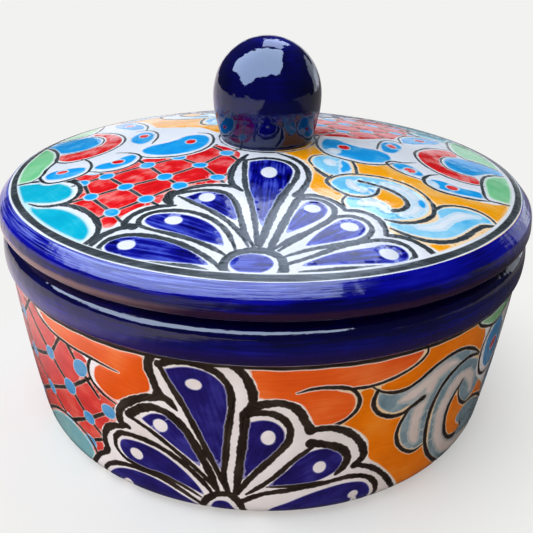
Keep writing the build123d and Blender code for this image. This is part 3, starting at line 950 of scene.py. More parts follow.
# %% Flowers on the lid
def left_flower():
    """Half a flower that opens from the left edge, between two green leaves."""
    fill("ground", (-98.6, -5), (-98.4, -26), (-92, -36.6), (-82, -36.6), (-76, -33), (-68, -34), (-58, -31),
         (-53, -24), (-46, -25), (-36, -24.4), (-27, -19), (-22.6, -10), (-22.8, 0), (-27, 9), (-38, 12),
         (-48, 14), (-54, 26), (-60, 42), (-74, 64), (-88, 68), (-98, 46), (-112, 30), (-104, 8))
    fill("sky", (-95.4, -26), (-93.4, -31), (-88, -33.4), (-81, -32.6), (-77.2, -28.8), (-78, -24.4),
         (-83, -22.6), (-89, -22), (-93.6, -22.6))
    fill("sky", (-74, -27), (-70, -30.2), (-64, -30.6), (-58.2, -27), (-56, -20.4), (-58.4, -16.4),
         (-62, -17.4), (-66, -21.6), (-72, -23.6))
    fill("sky", (-55.4, -12), (-52, -6.4), (-46, -4), (-41, 0), (-37, 5), (-30, 5.4), (-26.2, 0), (-26, -9),
         (-30, -17), (-37.6, -21.2), (-46, -21), (-53, -17.4))
    fill("sky", (-64, 9), (-62, 2), (-57, -2.4), (-53.6, 1), (-52.6, 9), (-55, 17.4), (-59.4, 20.4),
         (-63, 16))
    fill("sky", (-61, 29), (-62, 37), (-67, 48), (-75, 60), (-80, 57.4), (-78.4, 46), (-72, 36), (-66, 29))
    for seed in ((-88, -25.4, 2.6, 1.7, -10), (-64, -23.4, 2.9, 2.2, -20), (-34.2, -5, 2.3, 3.2, 0),
                 (-58, 12, 2.2, 3.2, 10), (-70.4, 44, 2.2, 3.4, 35)):
        dot("red", *seed)
    line(1.5, (-98, -6), (-98.2, -18), (-97, -28), (-91.4, -35.4), (-83, -35.8), (-76.6, -32), (-75.2, -27),
         (-76.4, -20.6), (-80, -14.4), (-83.6, -11.6), start=0.7)
    line(1.3, (-75, -30.4), (-69, -33), (-62, -32.8), (-56.4, -28.6), (-54.2, -22), (-56.2, -17),
         (-60.4, -13.6), (-67, -11), start=0.6)
    line(1.4, (-55.4, -19), (-51.6, -22), (-45, -23.6), (-37, -23.4), (-29, -18.8), (-24.6, -10.6),
         (-24.2, -1), (-26.8, 6.6), (-32, 9.4), start=0.5)
    line(1.2, (-52, -3), (-50.8, 6), (-51.6, 13), (-54.6, 20), (-59, 23.6), (-64, 24.6))
    line(1.2, (-58.6, 24), (-59.6, 34), (-64.6, 47), (-74, 61.6), (-82, 66))
    fill("red", (-95.6, 1), (-94, -7), (-88, -12), (-80, -11.6), (-72.6, -6.6), (-68.6, 1), (-68, 9),
         (-71, 18.6), (-78, 28.6), (-87, 37.4), (-87, 37.4), (-87, 32), (-81.6, 26), (-78, 19.4),
         (-76.4, 12), (-77.4, 6), (-82, 1.6), (-88, 0), (-95.6, 1))
    line(1.3, (-97, 2), (-95.4, -8), (-88.6, -13.6), (-80, -13), (-72, -8), (-67.2, 0.6), (-66.6, 9.4),
         (-69.8, 19.4), (-77, 29.8), (-87, 39), start=0.6)
    fill("sky", (-111, 29.4), (-105, 20), (-98.6, 7), (-95, 3.4), (-88, 1.8), (-82.4, 3.6), (-78.8, 9),
         (-79, 16), (-82.2, 23), (-88, 30), (-96, 31.6), (-104, 31.6))
    line(1.0, (-95.6, 2.4), (-88, 0.9), (-81.8, 2.8), (-77.8, 8.4), (-78, 16), (-81.6, 23.6), (-88, 31),
         start=0.6)
    fill("green", (-113, 27), (-109.6, 26), (-104, 16), (-99.6, 7), (-97.4, -1), (-96.6, -8), (-98, -17),
         (-98.2, -25), (-101, -28.6), (-106, -28.4), (-111, -26), (-114, -5))
    line(1.6, (-111, 28), (-104.6, 19), (-99, 8), (-96.2, -1), (-95.2, -8), (-96.8, -17), (-97.2, -25),
         (-100.6, -29.6), start=0.6)
    fill("green", (-112, 34), (-102, 34.4), (-92, 36), (-88.6, 42), (-88.4, 54), (-90, 68), (-98, 60),
         (-106, 48))
    line(1.5, (-112, 32.6), (-102, 32.8), (-91.6, 34.6), (-87, 41), (-86.8, 54), (-88.6, 69), start=0.7)


def right_flower():
    """The flower on the right edge."""
    fill("ground", (112, -5), (104, -14), (98, -43), (84, -46), (72, -44.6), (65.6, -37), (58, -33),
         (52.6, -23), (47, -27.6), (36, -26.4), (26, -20), (21.6, -10), (23, 4), (34, 8), (50, 8), (60, 16),
         (66, 28), (82, 38), (96, 30), (106, 10))
    fill("sky", (25, -14), (24.6, -5), (27.4, 2.6), (33, 2), (38, -3), (44, -6), (50, -7), (54, -10.4),
         (54.8, -17), (51, -22.6), (43, -25), (35, -22.4), (28, -18.6))
    dot("pale_light", 29.6, -15, 2.8, 3.4)
    fill("sky", (53.8, -23), (57, -20.6), (62, -21), (66, -26), (66.8, -31.6), (62, -32), (56.6, -28.8))
    fill("sky", (67.4, -36.6), (70, -33), (76, -33.2), (82, -36), (90, -36.4), (91, -41.6), (84, -43.2),
         (76, -43), (70, -40.8))
    dot("pale_light", 69.9, -38.4, 1.6, 2.6)
    fill("sky", (53, -8), (57, -8), (61, -2), (63, 6), (60, 11), (55, 8.6), (52.4, 2))
    fill("sky", (65, 13), (70, 14), (77, 19.6), (84, 26), (87, 33), (80, 35.4), (71, 30), (65.4, 22))
    for seed in ((34.6, -8.6, 2.6, 3.2, 10), (61.4, -27.2, 2.6, 2.6, 0), (77.6, -38, 2.7, 2.2, 15),
                 (57.8, 3, 2, 3.2, 10), (75, 25.4, 3.2, 2.2, 35)):
        dot("red", *seed)
    dot("pale_light", 59, -29.6, 1.5, 1.8)
    line(1.5, (24.4, 5), (22.6, -3), (22.8, -11), (26, -19.4), (33, -24.2), (42, -27), (50, -25.4),
         (55.6, -21.4), start=0.6)
    line(1.4, (66, -16), (60, -19), (54.4, -19.6), (52, -22.4), (54, -28), (59.4, -33), (66, -35.6),
         start=0.4)
    line(1.8, (74, -26), (69, -29.6), (66, -35), (66.8, -40), (71, -43.8), (78, -45.2), (86, -45), (93, -43),
         start=0.4, end=0.4)
    line(1.2, (50, -5), (52, 4), (55, 11), (60, 13.6), (64.4, 11))
    line(1.2, (63.6, 12), (64, 22), (70, 31.6), (80, 37.4), (88, 36))
    fill("red", (92, -19.6), (92.6, -26.6), (85, -27.6), (77.6, -24.8), (71.8, -18.6), (69, -10),
         (69.4, -1.6), (73.6, 6), (80, 12.6), (88.6, 16.6), (88.6, 16.6), (90, 8), (84, 4.4), (80, -1),
         (78.2, -8), (79, -14), (83, -18), (88, -19.6))
    line(1.4, (94, -28), (85, -29), (77, -26.2), (70.6, -19.4), (67.6, -10.4), (68, -1), (72.4, 7), (79, 14),
         (88.6, 18.4), start=0.6)
    fill("sky", (80.4, -9), (81.4, -14), (85.4, -17.2), (91, -17.8), (96.4, -13.4), (101.4, -8.4), (109, -5),
         (107, 2.6), (98, 6), (90, 5.4), (84, 1.6), (81, -3.4))
    line(1.0, (92, -19), (85, -18.6), (80.2, -14.6), (79, -8.6), (80, -2.6), (84, 3.4), (91, 7), start=0.6)
    fill("green", (112, -7), (106, -8.4), (101, -12), (96.4, -19), (94.2, -28), (93.6, -39.6), (98, -41),
         (106, -40), (112, -24))
    line(1.6, (109, -5.6), (103, -9), (97.4, -15), (94, -23), (92.2, -32), (92, -42), (98, -42.6),
         (104, -42.4), start=0.6, end=0.7)
    fill("green", (93, 9), (100, 7.6), (108, 3), (113, 4), (112, 20), (106, 34), (98, 44), (94, 41),
         (91.4, 30), (90.6, 18))
    line(1.5, (110, 0.6), (102, 5.6), (94, 7.8), (89.6, 17), (90.2, 30), (93, 42), (97, 46.6), start=0.6)


# %% The lid's whole sheet
def rotated(degrees, x0=0.0, y0=0.0):
    """A place on the sheet after a turn about its middle and a small shift."""
    c, s = cos(radians(degrees)), sin(radians(degrees))
    return lambda x, y: (c * x - s * y + x0, s * x + c * y + y0)


here = rotated(0)
for motif, places in (                # in the order that they were painted
    (lid_amber, (here, rotated(174))),
    (lid_net, (here, rotated(182, 0, -7))),
    (lid_scroll, (here, rotated(172))),
    (left_flower, (here,)),
    (right_flower, (here,)),
    (lid_fan, (here, rotated(180))),
):
    for place in places:
        lid.place = place
        motif()
lid.ring("outline", 0.3, 0.2, 21.4, 22.4, wobble=0.3)
lid.ring("ground", -0.4, 0.2, 110.3, 114.8, wobble=0.2)
lid.ring("outline", 0.2, 0.1, 110.9, 114.0, wobble=0.2)
print(len(lid.shapes), "shapes on the lid")

# %% [markdown]
# ## The wall
# The wall is painted the same way, but its sheet is the wall unrolled. Across it runs the angle from
# the front, where one degree is 2 mm, and up it runs the length of the outline from the foot.

# %% Fan on the wall
degree_mm = 2.0              # width of one degree on the sheet
wall = Sheet()
fill, line, dot = wall.fill, wall.line, wall.dot


def wall_fan():
    """The fan, with its hub cut off by the foot. Places are degrees from the front and millimetres up."""
    fill("ground", (-44, -3), (-41.6, 5), (-39, 12), (-36.4, 18.6), (-34.8, 23), (-34.6, 30), (-33.4, 37),
         (-29.4, 43), (-29.2, 50), (-27.2, 55), (-23.4, 60.6), (-20.4, 64.5), (-20.6, 72), (-21, 79),
         (-21, 83), (-3.6, 83), (-1.6, 76), (-0.6, 67.4), (3, 67), (6.8, 64.4), (8.8, 58), (9.8, 53.6),
         (13.4, 53.4), (17.2, 50), (20.8, 42), (21.8, 32), (24.6, 26.4), (28.2, 18), (31.2, 9), (34.4, -3))
    # scalloped line round the fan
    line(3.6, (-19.4, 81.6), (-20.3, 76), (-19.6, 70), (-18.7, 64), start=1.1, end=1.1)
    line(3.4, (-18.9, 63.4), (-16.9, 61.6), (-15.4, 57.8), start=1.2, end=0.4)
    line(3.8, (-18.2, 62.4), (-21.8, 60.4), (-25, 56.6), (-27.4, 52), (-28.3, 47), (-28, 43.6),
         (-26.4, 42.4), end=0.7)
    line(3.4, (-27.6, 42), (-31, 39.2), (-33, 34.6), (-33.8, 29), (-33.6, 24.6), (-34.4, 21.6), start=0.8,
         end=1)
    line(2.7, (-34, 22), (-36.4, 18.4), (-38.8, 12.6), (-41, 6.6), (-43.6, -2), start=0.8)
    line(3.6, (-5.6, 81.8), (-3.4, 78.6), (-1.9, 72.6), (-1.4, 66.4), (-2.2, 60.4), start=0.6, end=1.3)
    line(3.6, (-2.4, 61.4), (0.4, 64.6), (4, 65), (6.6, 61.8), (8, 56.4), (9.2, 51.4), start=1.1, end=1.2)
    line(3.4, (8.8, 51.4), (12.4, 51.9), (15.6, 49.6), (18.4, 44.6), (20.2, 38.2), (20.5, 33.6), (19, 29.6),
         end=1.3)
    line(2.8, (19.6, 29.6), (23, 26), (26.4, 19.4), (29.4, 10.6), (32.8, -2), start=1)
    # middle petal
    fill("cobalt", (-17.3, 75.6), (-17.3, 75.6), (-13, 78.2), (-9.2, 76.8), (-6.7, 72), (-6.1, 66),
         (-6.8, 52), (-7.4, 38), (-7.6, 31.4), (-7.6, 31.4), (-9.8, 41), (-12.4, 54), (-15, 67), grow=0.5)
    line(2.7, (-18.4, 78.4), (-16.6, 70.6), (-14.2, 61), (-11.8, 49), (-9.6, 37), (-7.8, 27), (-6.4, 17.6),
         end=0.6)
    line(2.9, (-18.4, 77.4), (-15.4, 80.2), (-11.6, 80.4), (-7.8, 77.8), (-5.6, 71.6), (-5.2, 64), (-6, 50),
         (-6.6, 36), (-7, 27), (-6, 17.6), start=1.1, end=0.6)
    dot("ground", -11.9, 71.3, 2.9, 2.3)
    # petals on the left
    fill("cobalt", (-22.8, 49.4), (-22.8, 49.4), (-20.6, 53), (-18.2, 53.6), (-15.8, 50.6), (-13.6, 43.6),
         (-12.1, 36), (-11.8, 31.4), (-11.8, 31.4), (-15, 37), (-19, 43.6), grow=0.5)
    line(3.8, (-25.8, 49.4), (-23.4, 53.8), (-20.4, 56.6), (-17.4, 55.4), (-14.6, 50.4), (-12.6, 43),
         (-11, 35), (-9.6, 27), (-8.4, 18.6), start=1.2, end=0.6)
    line(2.4, (-25.8, 48.6), (-21.6, 44.6), (-17.4, 38.4), (-13.4, 31), (-10.4, 24), (-8.8, 18.4), start=0.8)
    dot("ground", -19.1, 48.4, 2.9, 3.1, -20)
    fill("cobalt", (-29.4, 29.4), (-28.6, 33.6), (-25, 35.6), (-20.6, 34.2), (-16.4, 28.6), (-13, 20.6),
         (-11.5, 15), (-11.5, 15), (-15, 18.8), (-20, 22.2), (-25, 23), (-28.2, 25), grow=0.5)
    line(2.9, (-30.6, 33.6), (-28.8, 37.4), (-25, 38.6), (-20.4, 37.2), (-16, 32.2), (-12.6, 25.4),
         (-10.2, 18.6), (-9.4, 15), start=0.9, end=0.55)
    line(2.2, (-30.4, 34), (-30.8, 28.6), (-29.2, 24), (-25, 21.6), (-20, 20.8), (-15.4, 17.4), (-12, 13),
         start=1)
    dot("ground", -25.6, 28.9, 2.9, 2.9, -20)
    fill("cobalt", (-37.6, -2), (-34.6, 9), (-31.4, 14.8), (-27, 17.8), (-22, 17.2), (-17.4, 13), (-14, 7),
         (-13, -2), (-24, -4), grow=0.5)
    line(2.8, (-37.4, 6), (-35, 13.2), (-31.4, 18.2), (-26, 20.4), (-20.4, 19), (-16, 14.6), (-12.8, 9),
         (-12, 5), start=0.5, end=0.6)
    fill("ground", (-33.6, 1), (-31.6, 7), (-29.4, 10.6), (-28.6, 8.4), (-30, 3.6), (-31.8, 0.4))
    # petals on the right
    fill("cobalt", (-1.9, 55.8), (-1.9, 55.8), (0.6, 56.9), (2.6, 55.6), (4.1, 51.4), (3.9, 45.4), (1.6, 39),
         (-1, 33), (-3.2, 26.6), (-3.2, 26.6), (-3, 40), grow=0.5)
    line(3.6, (-2.8, 59.6), (-3.1, 50), (-3.7, 38), (-4.2, 27), (-4.8, 17.6), start=1.1, end=0.6)
    line(3.1, (-2.4, 60), (0.2, 60.8), (3, 59.4), (5.2, 54), (5.2, 47), (2.8, 39.4), (-0.2, 31.6),
         (-2.6, 24.6), (-4.4, 17.4), start=1.1, end=0.6)
    dot("ground", 1.4, 48.7, 2.6, 3.5)
    fill("cobalt", (8.8, 39.4), (12, 41.2), (14.6, 39.4), (15.9, 35), (15.3, 29.6), (12.2, 25.2),
         (7.4, 23.4), (2, 23), (2, 23), (5.4, 31), grow=0.5)
    line(2.5, (10, 43.4), (6.4, 36.6), (3.2, 28.6), (0.8, 23.6), (-2.6, 17.6), start=0.6)
    line(3.8, (9.6, 45), (12.4, 43.6), (15.4, 40.6), (17, 36), (16.8, 31), (15.2, 26.6), start=1.2, end=0.5)
    line(1.7, (1.4, 22.2), (7, 22.4), (12.6, 23.6), start=0.5)
    dot("ground", 11.6, 31.8, 2.5, 3.1)
    fill("cobalt", (2.4, 7), (6.4, 12.8), (12, 17.8), (18, 19.8), (21.8, 17.8), (23.5, 13), (23.8, 6),
         (23, -3), (12, -4), (3, -3), grow=0.5)
    line(2.8, (-3.8, 13), (0.6, 18), (7, 20.4), (13, 22.4), (18.6, 23.6), (22.4, 21), (24.8, 15.4),
         (25.5, 8), (25, -2), start=1)
    dot("ground", 19.9, 12, 2.2, 2.4)
    line(2.5, (20.1, 10.6), (21, 5), (22.2, -2), pigment="ground", start=0.7)
    # hub
    line(3.6, (-12.6, -3), (-12.2, 5), (-11.2, 11), (-8.8, 16), (-6, 16.6), (-4.2, 12.6), (-3.4, 6),
         (-3, -3), start=1, end=1)
    fill("cobalt", (-10.4, -3), (-10, 7), (-8.8, 11.6), (-6.8, 12), (-5.6, 7.4), (-5.2, -3), grow=0.5)


# %% Clouds, net and scroll on the wall
def wall_cloud_right():
    """The orange cloud on the fan's right, with a curl under the rim."""
    fill("orange", (-3.4, 83), (-1, 74), (-0.6, 66.6), (3, 66.4), (6.8, 64.6), (8.8, 58.4), (10, 53.6),
         (14, 53.8), (16.5, 57.4), (17.3, 62.4), (16.4, 67), (13.8, 69.4), (20, 69.8), (26, 72.4),
         (29.5, 76), (30.4, 83))
    line(1.8, (6.2, 69.6), (9.2, 71.2), (13, 70.9), (16, 69.2), (17.7, 65), (17.8, 60), (16.2, 55.6),
         (13.2, 52.2), start=0.3, end=1)
    line(1.5, (14.6, 69.6), (20, 69), (26, 71.4), (29.6, 74.6), (31.2, 78), (30.6, 82))


def wall_cloud_left():
    """The orange cloud on the fan's left."""
    fill("orange", (-49.4, 83), (-47.2, 76.4), (-42, 73), (-36, 71.2), (-31, 70.2), (-32.6, 67), (-33.2, 61),
         (-31.4, 56.6), (-28.8, 54.4), (-26, 56), (-23, 60.4), (-20, 64), (-20, 72), (-20, 83))
    line(1.5, (-51.6, 81.6), (-49.6, 77.4), (-46, 74), (-40, 71.8), (-33, 70.6), (-26.8, 68.8), end=0.3)
    line(1.6, (-33.2, 71), (-34.4, 66), (-34.2, 60), (-31.8, 55.2), (-28.4, 52.2))


def wall_net():
    """The red net with blue knots, as on the lid, and the turquoise leaf at its foot."""
    fill("red", (-25, 40), (-28.4, 54), (-34, 60), (-34.8, 69), (-40, 71.6), (-48, 76), (-51.6, 84),
         (-90, 84), (-90, -4), (-38, -4), (-35, 16), (-33.8, 30))
    strands = [
        [(-86, 26), (-77, 38), (-68, 41), (-58, 51), (-47.5, 60.5), (-42.4, 72)],
        [(-78, 4), (-71, 14), (-62, 25), (-51.5, 38.5), (-42, 49), (-34.6, 60)],
        [(-51.6, 19), (-45.6, 27), (-37.5, 37), (-31, 46.5), (-28.4, 51)],
        [(-45, 15), (-39, 23), (-34.6, 28.4)],
        [(-86, 52), (-70, 59), (-60, 68), (-53, 80)],
        [(-56, 78), (-47.5, 60.5), (-42, 49), (-37.5, 37), (-34, 30)],
        [(-40, 72), (-37, 62.5), (-33, 52)],
        [(-66, 80), (-60, 68), (-58, 51), (-51.5, 38.5), (-45.6, 27), (-40, 18)],
        [(-80, 74), (-70, 59), (-68, 41), (-62, 25), (-54, 12)],
    ]
    for strand in strands:
        line(2.0, *strand, start=0.9, end=0.8)
    knots = [
        (-37, 62.8, 3.7, 4.8), (-47.5, 60.5, 3.1, 3.7), (-42, 49, 3.8, 4.2), (-31, 46.6, 3.7, 3.6),
        (-51.5, 38.5, 3.6, 3.4), (-37.5, 37.2, 3.4, 3.4), (-39, 23, 3.9, 3.2), (-45.6, 27.6, 3.2, 3),
        (-58, 51, 3.6, 3.8), (-68, 41, 3.4, 3.6), (-62, 25, 3.6, 3.4), (-70, 59, 3.6, 3.8),
        (-60, 68, 3.4, 3.8), (-76, 6.4, 3.6, 3),
    ]
    for knot in knots:
        dot("sky", *knot, tilt=-40)
    fill("teal", (-67, 3), (-61, 12), (-55.6, 20.4), (-50, 26), (-45, 26.8), (-41.2, 24.2), (-39, 18.6),
         (-38.8, 11), (-41, 4), (-44.4, -4), (-64, -4))
    line(1.7, (-68.6, 3.4), (-61.6, 14), (-55.8, 22.2), (-50, 27.8), (-44.6, 28.6), (-40, 25.4),
         (-37.9, 18.6), (-37.8, 10.4), (-40.4, 3), (-42.6, -3), start=0.5)


def wall_amber():
    """The amber that the scroll lies on."""
    fill("amber", (10, 50), (14, 72), (26, 80), (30, 85), (90, 85), (90, -4), (28, -4), (20, 24))


def wall_scroll():
    """Two leaves in a blue wash that curl from one stem."""
    fill("slate", (21.8, 65), (21.8, 60), (23.2, 56), (26, 53), (29.6, 54.2), (28.6, 49), (28.2, 43),
         (29, 36), (31, 30.6), (33.8, 28), (36, 30), (35.6, 38), (36, 48), (37.8, 56), (41.6, 62),
         (46, 63.4), (48.2, 62.8), (45.6, 67.8), (41.6, 70.8), (37.6, 71), (33.4, 68.4), (30, 64.8),
         (27, 62.6), (24, 62.8))
    line(6.2, (26.5, 58), (30, 60), (34, 64.4), (38, 67), (40.6, 66.4), pigment="slate_light", start=0.4,
         end=0.4)
    line(6.4, (34.4, 61), (32.4, 53), (31.8, 45), (32.2, 37), (33.2, 32.6), pigment="slate_light", start=0.8,
         end=0.6)
    line(1.9, (20, 68.8), (21.8, 65.8), (24.4, 63.6), (27.4, 63.2), (30.4, 65.4), (34, 69.6), (38, 72),
         (42, 71.6), (45.6, 68.4), (48.8, 63.8), start=0.3)
    line(2.1, (21.4, 66.4), (20.8, 61), (21.8, 56), (24.6, 52), (27.6, 51.2), (30, 53.4), (32.6, 55.8),
         start=0.8, end=1.3)
    line(2.0, (29.4, 52.4), (28, 47), (27.5, 41), (28.5, 34.6), (31, 29), (33.6, 26.6), (36.2, 28),
         start=0.6)
    fill("slate", (36.6, 50), (38, 57.4), (41, 62.2), (44.6, 63.8), (48.4, 61.2), (51.8, 56), (53.2, 50),
         (53, 44), (51, 39.8), (48.6, 38.4), (46.2, 41.6), (44.6, 47.4), (43.8, 52.4), (43.8, 52.4),
         (42.2, 48), (41.4, 42), (41.6, 34.6), (42.8, 28), (45.2, 22.6), (48.4, 19.6), (50, 23.6),
         (47.6, 28), (46.8, 31.6), (48.6, 35), (51.8, 35.8), (56, 32.4), (61, 26), (67, 17), (73, 9),
         (78, -2), (62, -4), (48.8, -4), (46, 7.6), (42.6, 13), (39.6, 19.4), (37.6, 27), (36.8, 36),
         (36.4, 44))
    line(6.6, (49.6, 43.6), (48.6, 50), (45.6, 56), (42, 55), (39.8, 48), (39.3, 40), (40.4, 30), (43, 21),
         (48, 14), (55, 13), (63, 8), pigment="slate_light", start=0.5, end=0.7)
    line(2.3, (49, 63), (44.8, 65.2), (41, 63.6), (37.8, 58.8), (35.9, 51), (35.4, 43), (35.8, 34), (37, 26),
         (39.2, 18.6), (42.2, 12.2), (45.4, 7), (47.6, -3), start=0.6)
    line(2.2, (44.6, 53.8), (42.4, 48), (41.4, 42), (41.7, 34.6), (43.1, 27.4), (45.6, 21.8), (48.8, 19.2),
         start=0.7, end=1.5)
    line(1.9, (43.6, 51.6), (44.5, 46), (46.5, 40.6), (49, 37.4), (52, 37.2), (57, 33), (62.4, 25),
         (68.6, 16), (76, 5), start=0.4, end=0.5)
    line(1.4, (48.8, 19.4), (50.4, 23), (49, 27.2), start=0.7, end=0.3)


def wall_flower():
    """Half a flower that hangs from the rim, with a green leaf on each side of it."""
    def petal_point(radius, degrees):
        """A place on the flower, whose middle is 83 mm up the wall."""
        return radius * sin(radians(degrees)) / degree_mm, 83 - radius * cos(radians(degrees))

    fill("ground", *[petal_point(70 + 2.5 * cos(radians(11 * t)), t) for t in range(-88, 89, 8)])
    for n, t in enumerate((-67, -34, -1, 33, 66)):
        lobe = [(49, -9), (47.6, 0), (49, 9), (55, 12.6), (62, 11), (66, 5), (66.6, -2), (64.4, -9),
                (58, -13), (52, -12.6)]
        fill("sky", *[petal_point(r + n % 2, t + d) for r, d in lobe])
        x, y = petal_point(57, t)
        dot("red", x, y, 2.9, 3.6, t)
        rim = [(43, -14.6), (52, -15.4), (62, -14), (68.4, -7.6), (70.4, 0), (68.6, 7.6), (62, 14),
               (52, 15.6)]
        line(1.8, *[petal_point(r + n % 2, t + d) for r, d in rim])
    fill("red", *[petal_point(37 + cos(radians(40 * t)), t) for t in range(-88, 89, 11)])
    line(1.7, *[petal_point(38 + cos(radians(40 * t)), t) for t in range(-88, 89, 11)], start=1, end=1)
    fill("ground", *[petal_point(24.6, t) for t in range(-90, 91, 15)])
    fill("sky", *[petal_point(22.4, t) for t in range(-90, 91, 15)])
    line(1.3, *[petal_point(25, t) for t in range(-88, 89, 11)], start=1, end=1)
    for side in (-1, 1):
        leaf = [(20, 84), (20, 78), (25, 74.4), (30, 73.6), (34, 76), (37.4, 80), (38, 84)]
        fill("green", *[(side * x, y) for x, y in leaf])
        line(1.6, *[(side * x, y) for x, y in leaf[1:]])


# %% The wall's whole sheet
half_turn_mm = 180 * degree_mm

heel = bend((underside_radius, foot_height), (106.7, 1.5), (109.45, 7.4), heel_top, 24)
wall_outline = outline(heel, bowed(heel_top, wall_top, 40))
wall_run = np.concatenate([[0], np.cumsum(np.hypot(*np.diff(wall_outline, axis=0).T))])
wall_length = float(wall_run[-1])


def at_angle(degrees):
    """Places on the wall, shifted round it."""
    return lambda angle, up: (degree_mm * (angle + degrees), up)


def band(sheet, pigment, low, high, waves):
    """A band all round the wall, with edges that sway where the hand did."""
    u = np.arange(-half_turn_mm - 6, half_turn_mm + 7, 2.0)
    t = 2 * pi * u / (2 * half_turn_mm)
    sway = np.sin(7 * t + 1) + 0.7 * np.sin(23 * t) + 0.5 * np.sin(61 * t + 2)
    top = np.column_stack([u, high + waves * sway])
    bottom = np.column_stack([u, low + waves * sway[::-1]])
    sheet.keep(pigment, [np.concatenate([bottom, top[::-1]])], grain=np.array([1.0, 0.0]))


grounds = (wall_amber, wall_net, wall_scroll, wall_cloud_left, wall_cloud_right)
for starts, motifs in (((0, 180), grounds), ((83, -104), (wall_flower,)), ((0, 180), (wall_fan,))):
    for start in starts:
        wall.place = at_angle(start)
        for motif in motifs:
            motif()
band(wall, "outline", 79.8, wall_length + 4, 0.2)
band(wall, "clay", -4, 0.9, 0.2)
for _, loops, middle, _ in wall.shapes:
    spread = np.concatenate(loops)
    for shift, crossing in ((2 * half_turn_mm, spread[:, 0].min() < -half_turn_mm),
                            (-2 * half_turn_mm, spread[:, 0].max() > half_turn_mm)):
        if crossing and np.ptp(spread[:, 0]) < half_turn_mm:
            loops += [loop + (shift, 0) for loop in loops[:1]]
            middle += [np.array(p) + (shift, 0) for p in list(middle)]
print(len(wall.shapes), "shapes on the wall, which is", round(wall_length, 1), "mm from foot to rim")

# %% [markdown]
# ## From sheets to pottery
# Each sheet is laid on its surface, and the rest of the solid is closed from the sheet's open edges:
# the lid's plate goes round its side, across its underside and up its vent, and the bowl goes over its
# bed, down the inside and across the floor, and from the foot across the underside.

# %% Laying a sheet on a surface
GLAZE_RISE = 0.12            # height of a full puddle over its edge
GLAZE_SLOPE = 1.2            # over this width
NO_PAINT_NEAR = 9.0          # distance to a painted edge, for the unpainted rest of a solid


def swell(distance):
    """Height of the glaze at a distance from its painted edge, and its slope there."""
    t = np.clip(distance / GLAZE_SLOPE, 0, 1)
    return GLAZE_RISE * t * t * (3 - 2 * t), GLAZE_RISE * 6 * t * (1 - t) / GLAZE_SLOPE


def brush_places(points, faces, top, shapes):
    """Each corner's place along and across its own shape's brush stroke."""
    places = np.empty((len(faces), 3, 2))
    for n in np.unique(top):
        chosen = top == n
        along = shapes[n][3] if n >= 0 else np.array([1.0, 0.2])
        along = along / np.hypot(*along)
        corners = points[faces[chosen]]
        offset = 37.0 * ((n * 0.618) % 1)    # so that no two strokes have the same streaks
        places[chosen, :, 0] = corners @ along + offset
        places[chosen, :, 1] = corners @ np.array([-along[1], along[0]]) + offset
    return places.reshape(-1, 2)


def laid_out(sheet, borders, on_sheet):
    """The sheet as triangles, with the shape on top, the way to the paint's edge and the brush's places."""
    points, faces, top = triangles_of(sheet, borders, on_sheet)
    glazes = np.array([sheet.shapes[t][0] if t >= 0 else "ground" for t in top])
    distance, away = paint_edges(points, faces, glazes)
    return points, faces, top, distance, away, brush_places(points, faces, top, sheet.shapes)


# %% Closing a solid
def angle_of(point):
    """The angle round the axis, from the front."""
    return atan2(point[0], -point[1])


def close_ring(points, faces, loop, steps, upwards):
    """Carries an open edge along steps of radius and height, and closes it if they end at the axis."""
    angles = [angle_of(points[v]) for v in loop]
    for radius, height in steps:
        start = len(points)
        if radius < 0.01:
            points.append((0, 0, height))
            pairs = zip(loop, loop[1:] + loop[:1])
            faces += [(a, b, start) if upwards else (b, a, start) for a, b in pairs]
            return None
        points += [(radius * sin(a), -radius * cos(a), height) for a in angles]
        following = list(range(start, start + len(loop)))
        for n in range(len(loop)):
            m = (n + 1) % len(loop)
            quad = (loop[n], loop[m], following[m], following[n])
            faces.append(quad if upwards else quad[::-1])
        loop = following
    return loop


# %% Joining rings that differ
def bridge(points, faces, outer, inner):
    """Joins two rings with different numbers of points, seen from below."""
    def turn_of(ring, n):
        """The angle of a ring's point, which goes on growing past the ring's end."""
        return angle_of(points[ring[n % len(ring)]]) + 2 * pi * (n // len(ring))

    outer, inner = (sorted(ring, key=lambda v: angle_of(points[v])) for ring in (outer, inner))
    i = j = 0
    while i < len(outer) or j < len(inner):
        a, b = outer[i % len(outer)], inner[j % len(inner)]
        outer_first = turn_of(outer, i + 1) <= turn_of(inner, j + 1)
        if i < len(outer) and (j >= len(inner) or outer_first):
            i += 1
            faces.append((b, outer[i % len(outer)], a))
        else:
            j += 1
            faces.append((a, b, inner[j % len(inner)]))


